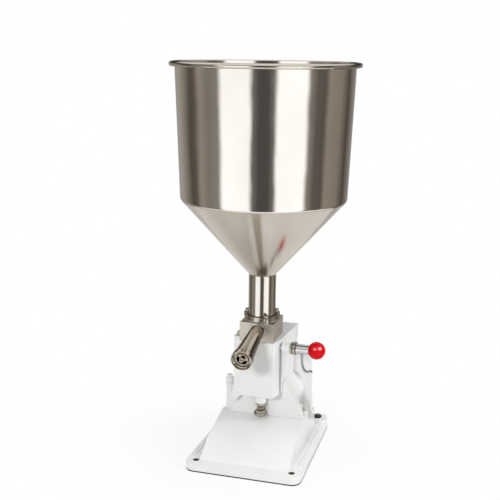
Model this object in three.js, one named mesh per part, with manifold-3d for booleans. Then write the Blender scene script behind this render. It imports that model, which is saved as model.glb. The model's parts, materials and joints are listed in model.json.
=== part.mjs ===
// Manual paste filling machine: hopper, valve block with nozzle, head with a hand-pushed plunger,
// column and sloping base. Millimetres, +Z up, front at -Y. The origin is on the floor under the
// hopper's axis.

import * as THREE from "three";
import { mergeVertices } from "three/addons/utils/BufferGeometryUtils.js";
import Module from "manifold-3d";

const wasm = await Module();
wasm.setup();

// Sizes. Radii and half widths are from an axis or the middle plane, reaches are from the origin.

const seatGap = 0.3; // between pieces that rest on each other
const slipGap = 0.3; // between pieces that slide or turn in each other
const overrun = 2; // how far a cutter runs past what it cuts
const weld = 0.001; // corners closer than this are one

const roundSteps = 60; // sides of the hopper
const turnSteps = 28; // sides of middle-sized turned pieces
const smallSteps = 12; // sides of small turned pieces
const screwSteps = 12; // sides of screws
const wireSides = 5;
const wireSteps = 7; // per turn of a spring

// Base
const baseHalfWidth = 87.5;
const baseFrontReach = 106;
const baseRearReach = 124;
const gasketThick = 1.6;
const gasketRim = 35; // width of the rubber frame at the sides
const gasketFrontRim = 21;
const flangeThick = 10.9;
const frontLugRadius = 14.5;
const rearLugRadius = 16;
const rearLugInset = 3.5; // the base is that much narrower at the rear, on each side
const rearLugRise = 5.2; // above the flange
const lugPocketRim = 2.5; // room round a rear screw's head, cut into the ramp
const rampInset = 19.5; // side wall's foot, from the flange's edge
const rampSideSlope = 1.6;
const rampFrontReach = 89.5;
const panelTopReach = 54;
const panelRise = 22.4; // top edge of the front panel above the flange
const platformFront = 10; // top of the ramp, behind the plunger's axis
const platformRise = 39.2; // above the flange
const wingFront = 24; // behind this the sides of the ramp fall towards the rear lugs
const wingInset = 3; // width of the falling strip
const stepFront = 49; // behind this the platform's corners are cut down
const stepBack = 75; // and behind this stands the seat of the column's plate
const stepHalfWidth = 50.5;
const stepDrop = 12;
const platformRearReach = 92;
const rampRearSlope = 7; // how far the rear wall leans out
const baseWall = 6;
const baseWallStep = 3; // the hollow's outline under the panel's lower edge
const fuse = 1.5; // how far joined shapes run into each other
const ribWidth = 2.6; // two raised lines along each side of the flange
const ribRise = 1.5;
const ribInsets = [14.1, 7.7];
const ribFrontReach = 72;
const ribRearReach = 76;

// Base fasteners
const frontScrewRadius = 3;
const frontHeadRadius = 4.7;
const frontHeadHeight = 2.6;
const rearScrewRadius = 3;
const rearHeadRadius = 6.2;
const rearHeadHeight = 4.6;
const socketShare = 0.52; // hexagon socket across a screw head
const socketDepthShare = 0.55;
const headChamfer = 0.5;

// Column
const headClearHeight = 42.7; // platform to the head's underside
const webFront = 11;
const webThick = 10;
const plateThick = 12;
const columnRear = 88;
const columnFootHalf = 63;
const plateHalf = 61;
const plateFootHalf = 63;
const cheekThick = 7;
const cheekRootHalf = 33;
const cheekRootHeight = 56.5; // lower edge above the column's foot, at the post
const cheekTipHeight = 51.5; // and at the plate's edge
const waistRootHalf = 44; // at the foot, where the waist meets the plate
const waistDip = 10; // how far the waist's sides hollow inwards
const narrowHalf = 35.5; // half width at the flare's top
const flareHeight = 57;
const skirtHalf = 54; // left foot of the web, under the flank
const skirtHeight = 20;
const shoulderLow = 73; // above the column's foot
const shoulderHigh = 99;
const seam = 20; // where the head's casting meets the column
const pocketHalf = 25;
const pocketFront = 40;
const pocketRise = 16.3; // above the head's underside
const pocketDrop = 8.7; // under the head's top
const studInset = 3.8; // from the platform's edge
const studReachY = 36;
const studBossRadius = 5.2;
const studBossHeight = 35;
const studRibThick = 6; // ties the boss to the post
const studRadius = 2.5;
const studWasherRadius = 6.4;
const studWasherThick = 3;
const studFlangeRadius = 6.2;
const studFlangeThick = 3;
const studHeadRadius = 4.6;
const studHeadHeight = 9.5;
const studDepth = 8; // into the base
const footLugRadius = 8;
const footLugThick = 4;
const footLugInset = 8;
const footLugReachY = 37;
const footBoltRadius = 3;
const footBoltHeadRadius = 5.4;
const footBoltHeadHeight = 4.4;
const footBoltPocketRim = 1;
const footBoltPocketHeight = 11;
const pegRadius = 1.4;
const pegLength = 7;
const pegProud = 1.6;
const pegRise = 52.7; // above the column's foot

// Head
const headHeight = 87;
const headFrontHalf = 25;
const headFrontReach = 24.5;
const headSideHalf = 31; // at the plunger's axis
const headRearHalf = 36; // at the column's rear
const flankHalf = 42; // left flank
const flankFront = -6;
const flankStep = 6; // flank's inner corner under the head
const flankDrop = 13; // slanted lower end of the flank
const flankSlit = 1.6; // dark slit under the flank
const boreRadius = 16;
const floorThick = 6;
const glandRadius = 19.6;
const glandThick = 4;
const adjustBossRadius = 8.7;
const adjustBossDrop = 17;
const slotWidth = 9;
const capBoltX = 35;
const capBoltY = 2;
const capBoltRadius = 3;
const capBoltHeadRadius = 4.2;
const capBoltCrown = 3;
const capBoltHeadHeight = 7;
const capBoltLength = 26;
const backBoltRadius = 3;
const backBoltHeadRadius = 5;
const backBoltHeadHeight = 6;
const backBoltHalfSpacing = 19.5;
const backBoltRise = 34.3; // lower pair above the head's underside
const backBoltDrop = 20.7; // upper pair under the head's top
const backBoltBite = 11; // into the head

// Plunger and handle
const plungerRadius = 15;
const plungerChamfer = 1.5;
const plungerTopRise = 49; // above the head's top
const stroke = 48;
const stemDrop = 12; // handle's axis under the head's top
const crossheadRadius = 15.6;
const crossheadHeight = 16;
const crossScrewRadius = 2.5;
const crossScrewBite = 14; // into the plunger
const crossHeadRadius = 4.2;
const crossHeadHeight = 4.4;
const shankRadius = 4;
const sleeveRadius = 8;
const sleeveStart = 33.4;
const sleeveLength = 13;
const collarRadius = 10;
const collarGrooveDepth = 2.2;
const collarLength = 7.6;
const rodRadius = 7.2;
const rodLength = 19.5;
const studLength = 11.6; // rod's thread inside the knob
const shankBite = 7.6; // into the crosshead
const sleeveChamfer = 1;
const knobRadius = 13.3;
const insertRadius = 6;
const insertLength = 12;
const hookWire = 1.9;
const hookHoleDepth = 5.6;
const hookReach = 63.5; // along the handle from the axis
const hookDrop = 26.6;
const hookSweep = 14.5;

// Adjusting screw
const adjustRadius = 5.7;
const adjustGroove = 0.9;
const lockNutRadius = 8.2;
const lockNutHeight = 3.4;
const adjustExposed = 8.8; // thread between the lock nut and the knob
const adjustTravel = 6.5; // upwards
const adjustKnobRadius = 9.8;
const adjustKnobHeight = 11;

// Valve block
const blockLeft = 27.5;
const blockRight = 25;
const blockFront = 24.5;
const blockRear = 31;
const blockHeight = 28;
const sealSheet = 0.8; // flat gaskets
const channelRadius = 18.8; // neck pipe, flange and block share this bore
const packingHeight = 3;
const blockScrewRadius = 2.5;
const blockScrewBite = 16; // into the head or the column
const blockScrewHeadRadius = 4.2;
const blockScrewHeadHeight = 4;
const blockScrewInset = 5.8;

// Neck flange and hopper
const flangeRingRadius = 23.6;
const neckFlangeThick = 7;
const lugRadius = 5.8;
const lugCircle = 24.8;
const lugAngles = [45, 165, 300];
const lugScrewRadius = 2;
const lugHeadRadius = 3.9;
const lugHeadHeight = 4.2;
const lugScrewBite = 9;
const gasketInset = 0.6; // flat gaskets stand back from the edge
const neckSheet = 1.5;
const neckHeight = 62;
const hopperSheet = 1.2;
const coneHeight = 112.3;
const hopperFootRadius = 122.2;
const hopperTopRadius = 129.4;
const hopperWallHeight = 196;
const knuckleRadius = 6; // rounded turn between wall and cone
const knuckleSteps = 3;
const beadRadius = 4;
const beadDrop = 2.5; // bead's middle under the wall's edge
const beadSides = 8;

// Inlet valve in the neck pipe
const cageRise = 14; // above the pipe's lower end
const cageThick = 3.6;
const cageHubRadius = 8.4;
const cageHubBore = 5;
const cageRim = 3;
const cageArm = 3.2;
const inletBallRadius = 11;
const inletSeatHeight = 8;
const inletSeatBore = 7.6;
const inletSeatStep = 4.8; // height of the funnel in the seat
const inletSeatLip = 2;
const ballSteps = 20;
const springWire = 0.8;
const inletSpringRadius = 6.6;
const inletSpringTurns = 4;

// Nozzle, along its own axis from the block's front face
const nozzleTilt = 13.4; // degrees down
const nozzleRise = 16.6; // axis above the block's underside, at its face
const nozzleLength = 84.8;
const nozzleRootRadius = 10.2;
const nozzleFlareRadius = 14.4; // where the tube meets the bell
const nozzleEndRadius = 12.4; // and inside the bell
const nozzleWall = 2.8;
const nozzleMitre = 4; // root's turned shapes start this far back, cut to the block's face
const nozzleTubeLength = 74.8;
const spigotRadius = 8;
const spigotReach = 4.5; // into the block
const rootRingRadius = 12.2;
const rootRingLength = 2.4;
const rootRingEdge = 0.8;
const bellRadius = 15.7;
const bellLength = 11.5;
const bellLip = 1.6;
const bellShoulder = 3.4; // rounded back edge
const bellBackStep = 1.9;
const bellBore = 12.9;
const bellSocket = 8; // of the bell's length that wraps the tube and insert
const insertDiscThick = 3.4;
const insertTail = 31; // hub's guide tube behind the disc
const insertRingInner = 7.6;
const insertRingOuter = 10;
const insertRingProud = 1.6;
const hubRadius = 3.7;
const hubBore = 1.9;
const hubProud = 2.4;
const insertArm = 2;
const tubeShoulder = 3; // narrow bore at the tube's root
const tubeShoulderBore = 6;
const outletSeatLength = 4;
const outletSeatBore = 4.6;
const poppetRadius = 6.2;
const poppetHead = 3;
const poppetStem = 1.5;
const nozzleSealThick = 1.2;

// Heights, each from the one below it

const flangeFoot = gasketThick + seatGap;
const flangeTop = flangeFoot + flangeThick;
const platformTop = flangeTop + platformRise;
const columnFoot = platformTop + seatGap;
const headFoot = columnFoot + headClearHeight;
const headTop = headFoot + headHeight;
const blockFoot = headTop + seatGap + sealSheet + seatGap;
const blockTop = blockFoot + blockHeight;
const neckFlangeFoot = blockTop + seatGap + sealSheet + seatGap;
const neckFlangeTop = neckFlangeFoot + neckFlangeThick;
const neckFoot = neckFlangeTop + seatGap;
const neckTop = neckFoot + neckHeight;
const coneFoot = neckTop + seatGap;
const coneTop = coneFoot + coneHeight;
const wallFoot = coneTop + seatGap;
const wallTop = wallFoot + hopperWallHeight;
const stemHeight = headTop - stemDrop;
const crossheadFoot = stemHeight - crossheadHeight / 2;
const crossheadTop = stemHeight + crossheadHeight / 2;

// Materials

function paint(color, roughness, metalness) {
  return new THREE.MeshStandardMaterial({ color, roughness, metalness });
}

const whitePaint = paint(0xf1f1ef, 0.42, 0);
const polishedSteel = paint(0xc9c0b4, 0.12, 1);
const brushedSteel = paint(0xb5a999, 0.32, 1);
const chrome = paint(0xd6d6d8, 0.08, 1);
const screwSteel = paint(0x9a958c, 0.3, 1);
const darkSteel = paint(0x2c2a27, 0.4, 0.8);
const zinc = paint(0xa9bcc0, 0.3, 1);
const redPlastic = paint(0xd3050c, 0.12, 0);
const blackRubber = paint(0x1c1c1c, 0.75, 0);
const sealRubber = paint(0xd8d4c8, 0.6, 0);
const brassMetal = paint(0xb08d4a, 0.3, 1);
const springSteel = paint(0x8e8c88, 0.28, 1);

// Geometry helpers

function signedVolume(geometry) {
  const p = geometry.attributes.position;
  const index = geometry.index.array;
  const [a, b, c] = [new THREE.Vector3(), new THREE.Vector3(), new THREE.Vector3()];
  let sum = 0;
  for (let i = 0; i < index.length; i += 3) {
    a.fromBufferAttribute(p, index[i]);
    b.fromBufferAttribute(p, index[i + 1]);
    c.fromBufferAttribute(p, index[i + 2]);
    sum += a.dot(b.cross(c));
  }
  return sum;
}

// One closed body: shared corners merged, flat triangles dropped, faces pointing out.
function closed(source) {
  const bare = source.clone();
  bare.deleteAttribute("normal");
  bare.deleteAttribute("uv");
  const geometry = mergeVertices(bare, weld);
  const kept = [];
  const old = geometry.index.array;
  for (let i = 0; i < old.length; i += 3) {
    const [a, b, c] = [old[i], old[i + 1], old[i + 2]];
    if (a !== b && b !== c && c !== a) kept.push(a, b, c);
  }
  geometry.setIndex(kept);
  if (signedVolume(geometry) < 0) {
    for (let i = 0; i < kept.length; i += 3) [kept[i], kept[i + 1]] = [kept[i + 1], kept[i]];
    geometry.setIndex(kept);
  }
  return geometry;
}

function toSolid(source) {
  const geometry = closed(source);
  return new wasm.Manifold(
    new wasm.Mesh({
      numProp: 3,
      vertProperties: new Float32Array(geometry.attributes.position.array),
      triVerts: new Uint32Array(geometry.index.array),
    }),
  );
}

function toGeometry(solid) {
  const mesh = solid.getMesh();
  const geometry = new THREE.BufferGeometry();
  geometry.setAttribute("position", new THREE.BufferAttribute(mesh.vertProperties, 3));
  geometry.setIndex(new THREE.BufferAttribute(mesh.triVerts, 1));
  return geometry;
}

function join(...pieces) {
  return toGeometry(pieces.map(toSolid).reduce((sum, piece) => sum.add(piece)));
}

function cut(body, ...cutters) {
  return toGeometry(cutters.map(toSolid).reduce((rest, cutter) => rest.subtract(cutter), toSolid(body)));
}

function common(...pieces) {
  return toGeometry(pieces.map(toSolid).reduce((sum, piece) => sum.intersect(piece)));
}

function outline(points) {
  return new THREE.Shape(points.map(([x, y]) => new THREE.Vector2(x, y)));
}

function extruded(points, depth) {
  return new THREE.ExtrudeGeometry(outline(points), { depth, bevelEnabled: false });
}

// Prisms: an outline in XY raised along Z, one in XZ drawn along Y, one in YZ drawn along X.
function prismZ(points, low, high) {
  return extruded(points, high - low).translate(0, 0, low);
}

function prismY(points, front, back) {
  return extruded(points, back - front).rotateX(Math.PI / 2).translate(0, back, 0);
}

const cycle = new THREE.Matrix4().set(0, 0, 1, 0, 1, 0, 0, 0, 0, 1, 0, 0, 0, 0, 0, 1);

function prismX(points, left, right) {
  return extruded(points, right - left).applyMatrix4(cycle).translate(left, 0, 0);
}

function box(left, right, front, back, low, high) {
  const geometry = new THREE.BoxGeometry(right - left, back - front, high - low);
  return geometry.translate((left + right) / 2, (front + back) / 2, (low + high) / 2);
}

// A profile of [radius, height] pairs turned about Z.
function turned(profile, steps) {
  const points = profile.map(([r, z]) => new THREE.Vector2(r, z));
  const [first, last] = [points[0], points[points.length - 1]];
  if (first.x > 0 || last.x > 0) points.push(first.clone());
  return new THREE.LatheGeometry(points, steps).rotateX(Math.PI / 2);
}

function rod(radius, low, high, steps = smallSteps) {
  return turned([[0, low], [radius, low], [radius, high], [0, high]], steps);
}

function tube(outer, inner, low, high, steps = turnSteps) {
  return turned([[inner, low], [outer, low], [outer, high], [inner, high]], steps);
}

// A regular prism along Z with its corners on the radius.
function nut(radius, sides, low, high, turn = 0) {
  return new THREE.CylinderGeometry(radius, radius, high - low, sides)
    .rotateX(Math.PI / 2).rotateZ(turn).translate(0, 0, (low + high) / 2);
}

function alongX(geometry) {
  return geometry.rotateY(Math.PI / 2);
}

function alongY(geometry) {
  return geometry.rotateX(-Math.PI / 2);
}

// A solid through flat outlines at rising heights, each with as many points as the others.
function loft(sections) {
  const count = sections[0].points.length;
  const places = sections.flatMap(({ z, points }) => points.flatMap(([x, y]) => [x, y, z]));
  const cap = THREE.ShapeUtils.triangulateShape(
    sections[0].points.map(([x, y]) => new THREE.Vector2(x, y)), [],
  );
  const roof = sections.length - 1;
  const top = THREE.ShapeUtils.triangulateShape(
    sections[roof].points.map(([x, y]) => new THREE.Vector2(x, y)), [],
  );
  const faces = [
    ...cap.map(([a, b, c]) => [a, c, b]),
    ...top.map((corners) => corners.map((i) => i + roof * count)),
  ];
  for (let k = 0; k < roof; k++) {
    for (let i = 0; i < count; i++) {
      const [a, b] = [k * count + i, k * count + ((i + 1) % count)];
      faces.push([a, b, b + count], [a, b + count, a + count]);
    }
  }
  const geometry = new THREE.BufferGeometry();
  geometry.setAttribute("position", new THREE.Float32BufferAttribute(places, 3));
  geometry.setIndex(faces.flat());
  return geometry;
}

function mirrored(points) {
  return [...points, ...points.map(([x, y]) => [-x, y]).reverse()];
}

// An outline moved out by a gap, for the room round a piece.
function grown(points, gap) {
  const n = points.length;
  const area = points.reduce((sum, [x, y], i) => {
    const [u, v] = points[(i + 1) % n];
    return sum + x * v - u * y;
  }, 0);
  const side = Math.sign(area);
  return points.map(([x, y], i) => {
    const [px, py] = points[(i + n - 1) % n];
    const [qx, qy] = points[(i + 1) % n];
    const before = new THREE.Vector2(x - px, y - py).normalize();
    const after = new THREE.Vector2(qx - x, qy - y).normalize();
    const normal = new THREE.Vector2(before.y + after.y, -before.x - after.x).multiplyScalar(side);
    const reach = gap / (normal.normalize().dot(new THREE.Vector2(after.y, -after.x)) * side);
    return [x + normal.x * reach, y + normal.y * reach];
  });
}

class Helix extends THREE.Curve {
  constructor(radius, low, high, turns) {
    super();
    Object.assign(this, { radius, low, high, turns });
  }

  getPoint(t, target = new THREE.Vector3()) {
    const angle = 2 * Math.PI * this.turns * t;
    const height = this.low + (this.high - this.low) * t;
    return target.set(this.radius * Math.cos(angle), this.radius * Math.sin(angle), height);
  }
}

function section(radius, sides) {
  const shape = new THREE.Shape();
  for (let i = 0; i < sides; i++) {
    const angle = (2 * Math.PI * i) / sides;
    const [x, y] = [radius * Math.cos(angle), radius * Math.sin(angle)];
    if (i) shape.lineTo(x, y);
    else shape.moveTo(x, y);
  }
  shape.closePath();
  return shape;
}

function wire(curve, radius, sides, steps) {
  const options = { steps, extrudePath: curve, bevelEnabled: false, curveSegments: 1 };
  return new THREE.ExtrudeGeometry(section(radius, sides), options);
}

function spring(radius, wireRadius, low, high, turns) {
  const curve = new Helix(radius, low + wireRadius, high - wireRadius, turns);
  return wire(curve, wireRadius, wireSides, wireSteps * turns);
}

// A screw with a round head and a hexagon socket, standing head up with its seat at the origin.
function socketScrew(shank, length, headRadius, headHeight, steps = screwSteps) {
  const body = turned(
    [[0, -length], [shank, -length], [shank, 0], [headRadius, 0], [headRadius, headHeight - headChamfer],
      [headRadius - headChamfer, headHeight], [0, headHeight]],
    steps,
  );
  const socket = nut(headRadius * socketShare, 6, headHeight * (1 - socketDepthShare), headHeight + overrun);
  return cut(body, socket);
}

// Scene graph

const machine = new THREE.Group();

function add(name, geometry, material, parent = machine) {
  const mesh = new THREE.Mesh(closed(geometry), material.clone());
  mesh.name = name;
  parent.add(mesh);
  return mesh;
}

// Base: flange with four lugs, ramped body, hollow from below.

const frontLugX = baseHalfWidth - frontLugRadius;
const rearLugX = baseHalfWidth - rearLugInset - rearLugRadius;
const lugs = [
  { x: -frontLugX, y: frontLugRadius - baseFrontReach, r: frontLugRadius, rear: false },
  { x: frontLugX, y: frontLugRadius - baseFrontReach, r: frontLugRadius, rear: false },
  { x: -rearLugX, y: baseRearReach - rearLugRadius, r: rearLugRadius, rear: true },
  { x: rearLugX, y: baseRearReach - rearLugRadius, r: rearLugRadius, rear: true },
];
const [frontLug, rearLug] = [lugs[1], lugs[3]];

// The flange's sides run straight between the lugs, its ends run from lug to lug.
const flangePlan = mirrored([
  [frontLug.x, -baseFrontReach], [frontLug.x, frontLug.y], [baseHalfWidth, frontLug.y],
  [rearLug.x + rearLugRadius, rearLug.y], [rearLug.x, rearLug.y], [rearLug.x, baseRearReach],
]);
const lugHeight = (lug) => flangeTop + (lug.rear ? rearLugRise : 0);
const flangePlate = join(
  prismZ(flangePlan, flangeFoot, flangeTop),
  ...lugs.map((lug) => rod(lug.r, flangeFoot, lugHeight(lug), turnSteps).translate(lug.x, lug.y, 0)),
);

const rampHalfWidth = baseHalfWidth - rampInset;
const rampTopHalfWidth = rampHalfWidth - rampSideSlope;
const wingHalfWidth = rampHalfWidth - wingInset;
const rampSide = [
  [-rampFrontReach, flangeFoot], [-rampFrontReach, flangeTop], [-panelTopReach, flangeTop + panelRise],
  [platformFront, platformTop], [platformRearReach, platformTop],
  [platformRearReach + rampRearSlope, flangeTop], [platformRearReach + rampRearSlope, flangeFoot],
];
const rampFront = mirrored([
  [rampHalfWidth, flangeFoot], [rampHalfWidth, flangeTop], [rampTopHalfWidth, platformTop],
]);
const ramp = common(
  prismX(rampSide, -rampHalfWidth, rampHalfWidth),
  prismY(rampFront, -rampFrontReach, platformRearReach + rampRearSlope),
);
const hollowSide = [
  [baseWall - rampFrontReach, flangeFoot - overrun], [baseWall - rampFrontReach, flangeTop - baseWallStep],
  [baseWallStep - panelTopReach, flangeTop + panelRise - baseWall],
  [platformFront + baseWallStep, platformTop - baseWall],
  [platformRearReach - baseWall, platformTop - baseWall],
  [platformRearReach + rampRearSlope - baseWall, flangeFoot - overrun],
];
const sideRibs = ribInsets.flatMap((inset) => [inset - baseHalfWidth, baseHalfWidth - inset]).map((x) => (
  box(x - ribWidth / 2, x + ribWidth / 2, -ribFrontReach, ribRearReach, flangeTop - ribRise, flangeTop + ribRise)
));
const stud = { x: studInset - wingHalfWidth, y: studReachY };
const footBolt = { x: wingHalfWidth - footLugInset, y: footLugReachY };
const boltHoleFoot = platformTop - studDepth - overrun;
const hollowHalf = stepHalfWidth - baseWall;
const stepTop = platformTop - stepDrop;
const seatFall = (y) => platformTop
  + ((lugHeight(rearLug) - platformTop) * (y - wingFront)) / (rearLug.y - rearLugRadius - wingFront);
const wingShape = [
  [wingFront, platformTop], [rearLug.y - rearLugRadius, lugHeight(rearLug)], [baseRearReach, lugHeight(rearLug)],
  [baseRearReach, platformTop + overrun], [wingFront, platformTop + overrun],
];
const notchShape = [
  [stepFront, seatFall(stepFront)], [stepBack, seatFall(stepBack)], [stepBack, stepTop], [baseRearReach, stepTop],
  [baseRearReach, platformTop + overrun], [stepFront, platformTop + overrun],
];
const cornerCuts = [[wingShape, wingHalfWidth], [notchShape, stepHalfWidth]].flatMap(([shape, half]) => [
  prismX(shape, half, rampHalfWidth + overrun), prismX(shape, -rampHalfWidth - overrun, -half),
]);
const frontCounterbore = frontHeadHeight + seatGap;
add("base_casting", cut(
  join(cut(join(flangePlate, cut(ramp, ...cornerCuts)), prismX(hollowSide, -hollowHalf, hollowHalf)),
    ...sideRibs),
  ...lugs.map((lug) => (
    rod((lug.rear ? rearScrewRadius : frontScrewRadius) + slipGap, flangeFoot - overrun, lugHeight(lug) + overrun)
      .translate(lug.x, lug.y, 0)
  )),
  ...lugs.filter((lug) => !lug.rear).map((lug) => (
    rod(frontHeadRadius + slipGap, flangeTop - frontCounterbore, flangeTop + overrun).translate(lug.x, lug.y, 0)
  )),
  ...lugs.filter((lug) => lug.rear).map((lug) => (
    rod(rearHeadRadius + lugPocketRim, lugHeight(lug), platformTop + overrun, turnSteps)
      .translate(lug.x, lug.y, 0)
  )),
  rod(studRadius + slipGap, boltHoleFoot, platformTop + overrun).translate(stud.x, stud.y, 0),
  rod(footBoltRadius + slipGap, boltHoleFoot, platformTop + overrun).translate(footBolt.x, footBolt.y, 0),
), whitePaint);

const gasketPlan = join(
  prismZ(flangePlan, 0, gasketThick),
  ...lugs.map((lug) => rod(lug.r, 0, gasketThick, turnSteps).translate(lug.x, lug.y, 0)),
);
add("base_gasket", cut(
  gasketPlan,
  box(gasketRim - baseHalfWidth, baseHalfWidth - gasketRim, gasketFrontRim - baseFrontReach,
    rearLug.y - rearLugRadius, -overrun, gasketThick + overrun),
  ...lugs.map((lug) => (
    rod(frontScrewRadius + slipGap, -overrun, gasketThick + overrun).translate(lug.x, lug.y, 0)
  )),
), blackRubber);

for (const lug of lugs) {
  const side = lug.x < 0 ? "left" : "right";
  const seat = lug.rear ? lugHeight(lug) + seatGap : flangeTop - frontCounterbore + seatGap;
  const screw = lug.rear
    ? socketScrew(rearScrewRadius, seat - seatGap, rearHeadRadius, rearHeadHeight)
    : socketScrew(frontScrewRadius, seat - seatGap, frontHeadRadius, frontHeadHeight);
  add(`base_screw_${lug.rear ? "rear" : "front"}_${side}`, screw.translate(lug.x, lug.y, seat),
    lug.rear ? darkSteel : screwSteel);
}

// Head plan, seen from above: narrow front, sides that open towards the rear, a flank on the left.

const sideHalfAt = (y) => headSideHalf + ((headRearHalf - headSideHalf) * y) / columnRear;
const flankRoot = headFrontHalf
  + ((headSideHalf - headFrontHalf) * (headFrontReach + flankFront)) / headFrontReach;
const headPlan = [
  [-headFrontHalf, -headFrontReach], [headFrontHalf, -headFrontReach], [headSideHalf, 0],
  [sideHalfAt(seam), seam], [-flankHalf, seam], [-flankHalf, flankFront], [-flankRoot, flankFront],
];
const columnPlan = [
  [sideHalfAt(seam), seam + seatGap], [headRearHalf, columnRear],
  [-headRearHalf, columnRear], [-flankHalf, seam + seatGap],
];

// The valve block stands on the head and the column, a screw in each corner.
const blockPlan = [
  [-blockLeft, -blockFront], [blockRight, -blockFront], [blockRight, blockRear], [-blockLeft, blockRear],
];
const blockScrews = blockPlan.map(([x, y]) => (
  { x: x - Math.sign(x) * blockScrewInset, y: y - Math.sign(y) * blockScrewInset, rear: y > 0, left: x < 0 }
));
const [rearBlockScrews, frontBlockScrews] = [true, false].map((rear) => (
  blockScrews.filter((screw) => screw.rear === rear)
));
const blockScrewTip = headTop - blockScrewBite;

function screwHoles(places, radius, low, high) {
  return places.map(({ x, y }) => rod(radius + slipGap, low, high).translate(x, y, 0));
}

// Column: a post with a front web that widens to the foot and a rear plate that widens upwards. A hollowed
// waist runs between the two.

const flareShares = [
  [0, 1], [0.07, 0.995], [0.13, 0.97], [0.22, 0.92], [0.31, 0.85], [0.42, 0.745], [0.54, 0.61], [0.66, 0.475],
  [0.78, 0.33], [0.9, 0.165], [1, 0],
];
const flareHalf = (spread) => narrowHalf + spread * (columnFootHalf - narrowHalf);
const flareTop = columnFoot + flareHeight;
const flareEdge = flareShares.map(([rise, spread]) => [flareHalf(spread), columnFoot + rise * flareHeight]);
const skirtShares = [[0, 1], [0.25, 0.7], [0.5, 0.42], [0.75, 0.17], [1, 0]];
const skirtEdge = skirtShares.map(([rise, spread]) => (
  [-flankHalf - spread * (skirtHalf - flankHalf), columnFoot + rise * skirtHeight]
));
const slitInner = headFoot - flankStep - flankSlit;
const slitOuter = slitInner - flankDrop;
const webShape = [...flareEdge, [-flankRoot, flareTop], [-flankRoot, slitInner], [-flankHalf, slitOuter],
  ...skirtEdge.reverse()];
const webBack = webFront + webThick;
const plateFront = columnRear - plateThick;
// Side of the waist from the web to the plate, as shares: the way back, how far it has gone over from one
// edge to the other, and the dip. At the flare's top it lies along the post and then along the plate.
const waistFootShares = [
  [0, 0, 0], [0.12, 0.12, 0.42], [0.27, 0.27, 0.82], [0.45, 0.45, 1], [0.63, 0.63, 0.97], [0.82, 0.82, 0.7],
  [1, 1, 0],
];
const waistTopShares = [
  [0, 0, 0], [0.2, 0, 0.15], [0.4, 0, 0.2], [0.6, 0, 0.25], [0.8, 0, 0.22], [0.985, 0, 0.2], [1, 1, 0],
];
const waistRun = plateFront + fuse - (webBack - fuse);
const waistSections = flareShares.map(([rise, spread]) => {
  const [webEdge, plateEdge] = [flareHalf(spread), waistRootHalf + rise * (plateHalf - waistRootHalf)];
  return {
    z: columnFoot + rise * flareHeight,
    points: mirrored(waistFootShares.map((foot, i) => {
      const [run, over, dip] = foot.map((share, k) => share + rise * (waistTopShares[i][k] - share));
      return [webEdge + over * (plateEdge - webEdge) - dip * waistDip, webBack - fuse + run * waistRun];
    })),
  };
});
const shoulderShares = [[0, 1], [0.35, 0.72], [0.7, 0.2], [1, 0]];
const shoulder = shoulderShares.map(([rise, spread]) => [
  headRearHalf + spread * (plateHalf - headRearHalf),
  columnFoot + shoulderLow + rise * (shoulderHigh - shoulderLow),
]);
const plateShape = mirrored([
  [plateFootHalf, columnFoot], [plateHalf, columnFoot + cheekTipHeight], ...shoulder, [headRearHalf, headTop],
]);
// Cheek: thickens the plate under the shoulder and ends in a ledge over the waist.
const cheekShape = mirrored([
  [cheekRootHalf, columnFoot + cheekRootHeight], [plateHalf, columnFoot + cheekTipHeight], ...shoulder,
]);
const pocket = box(-pocketHalf, pocketHalf, pocketFront, columnRear + overrun,
  headFoot + pocketRise, headTop - pocketDrop);
const headRoom = prismZ(grown(headPlan, seatGap), headFoot - seatGap, headTop + overrun);
const backBolts = [["lower", headFoot + backBoltRise], ["upper", headTop - backBoltDrop]].flatMap(([row, z]) => (
  [["left", -1], ["right", 1]].map(([side, sign]) => (
    { x: sign * backBoltHalfSpacing, z, name: `${row}_${side}` }
  ))
));
const backBoltTip = seam - backBoltBite;
const footLugTop = columnFoot + footLugThick;

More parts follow.
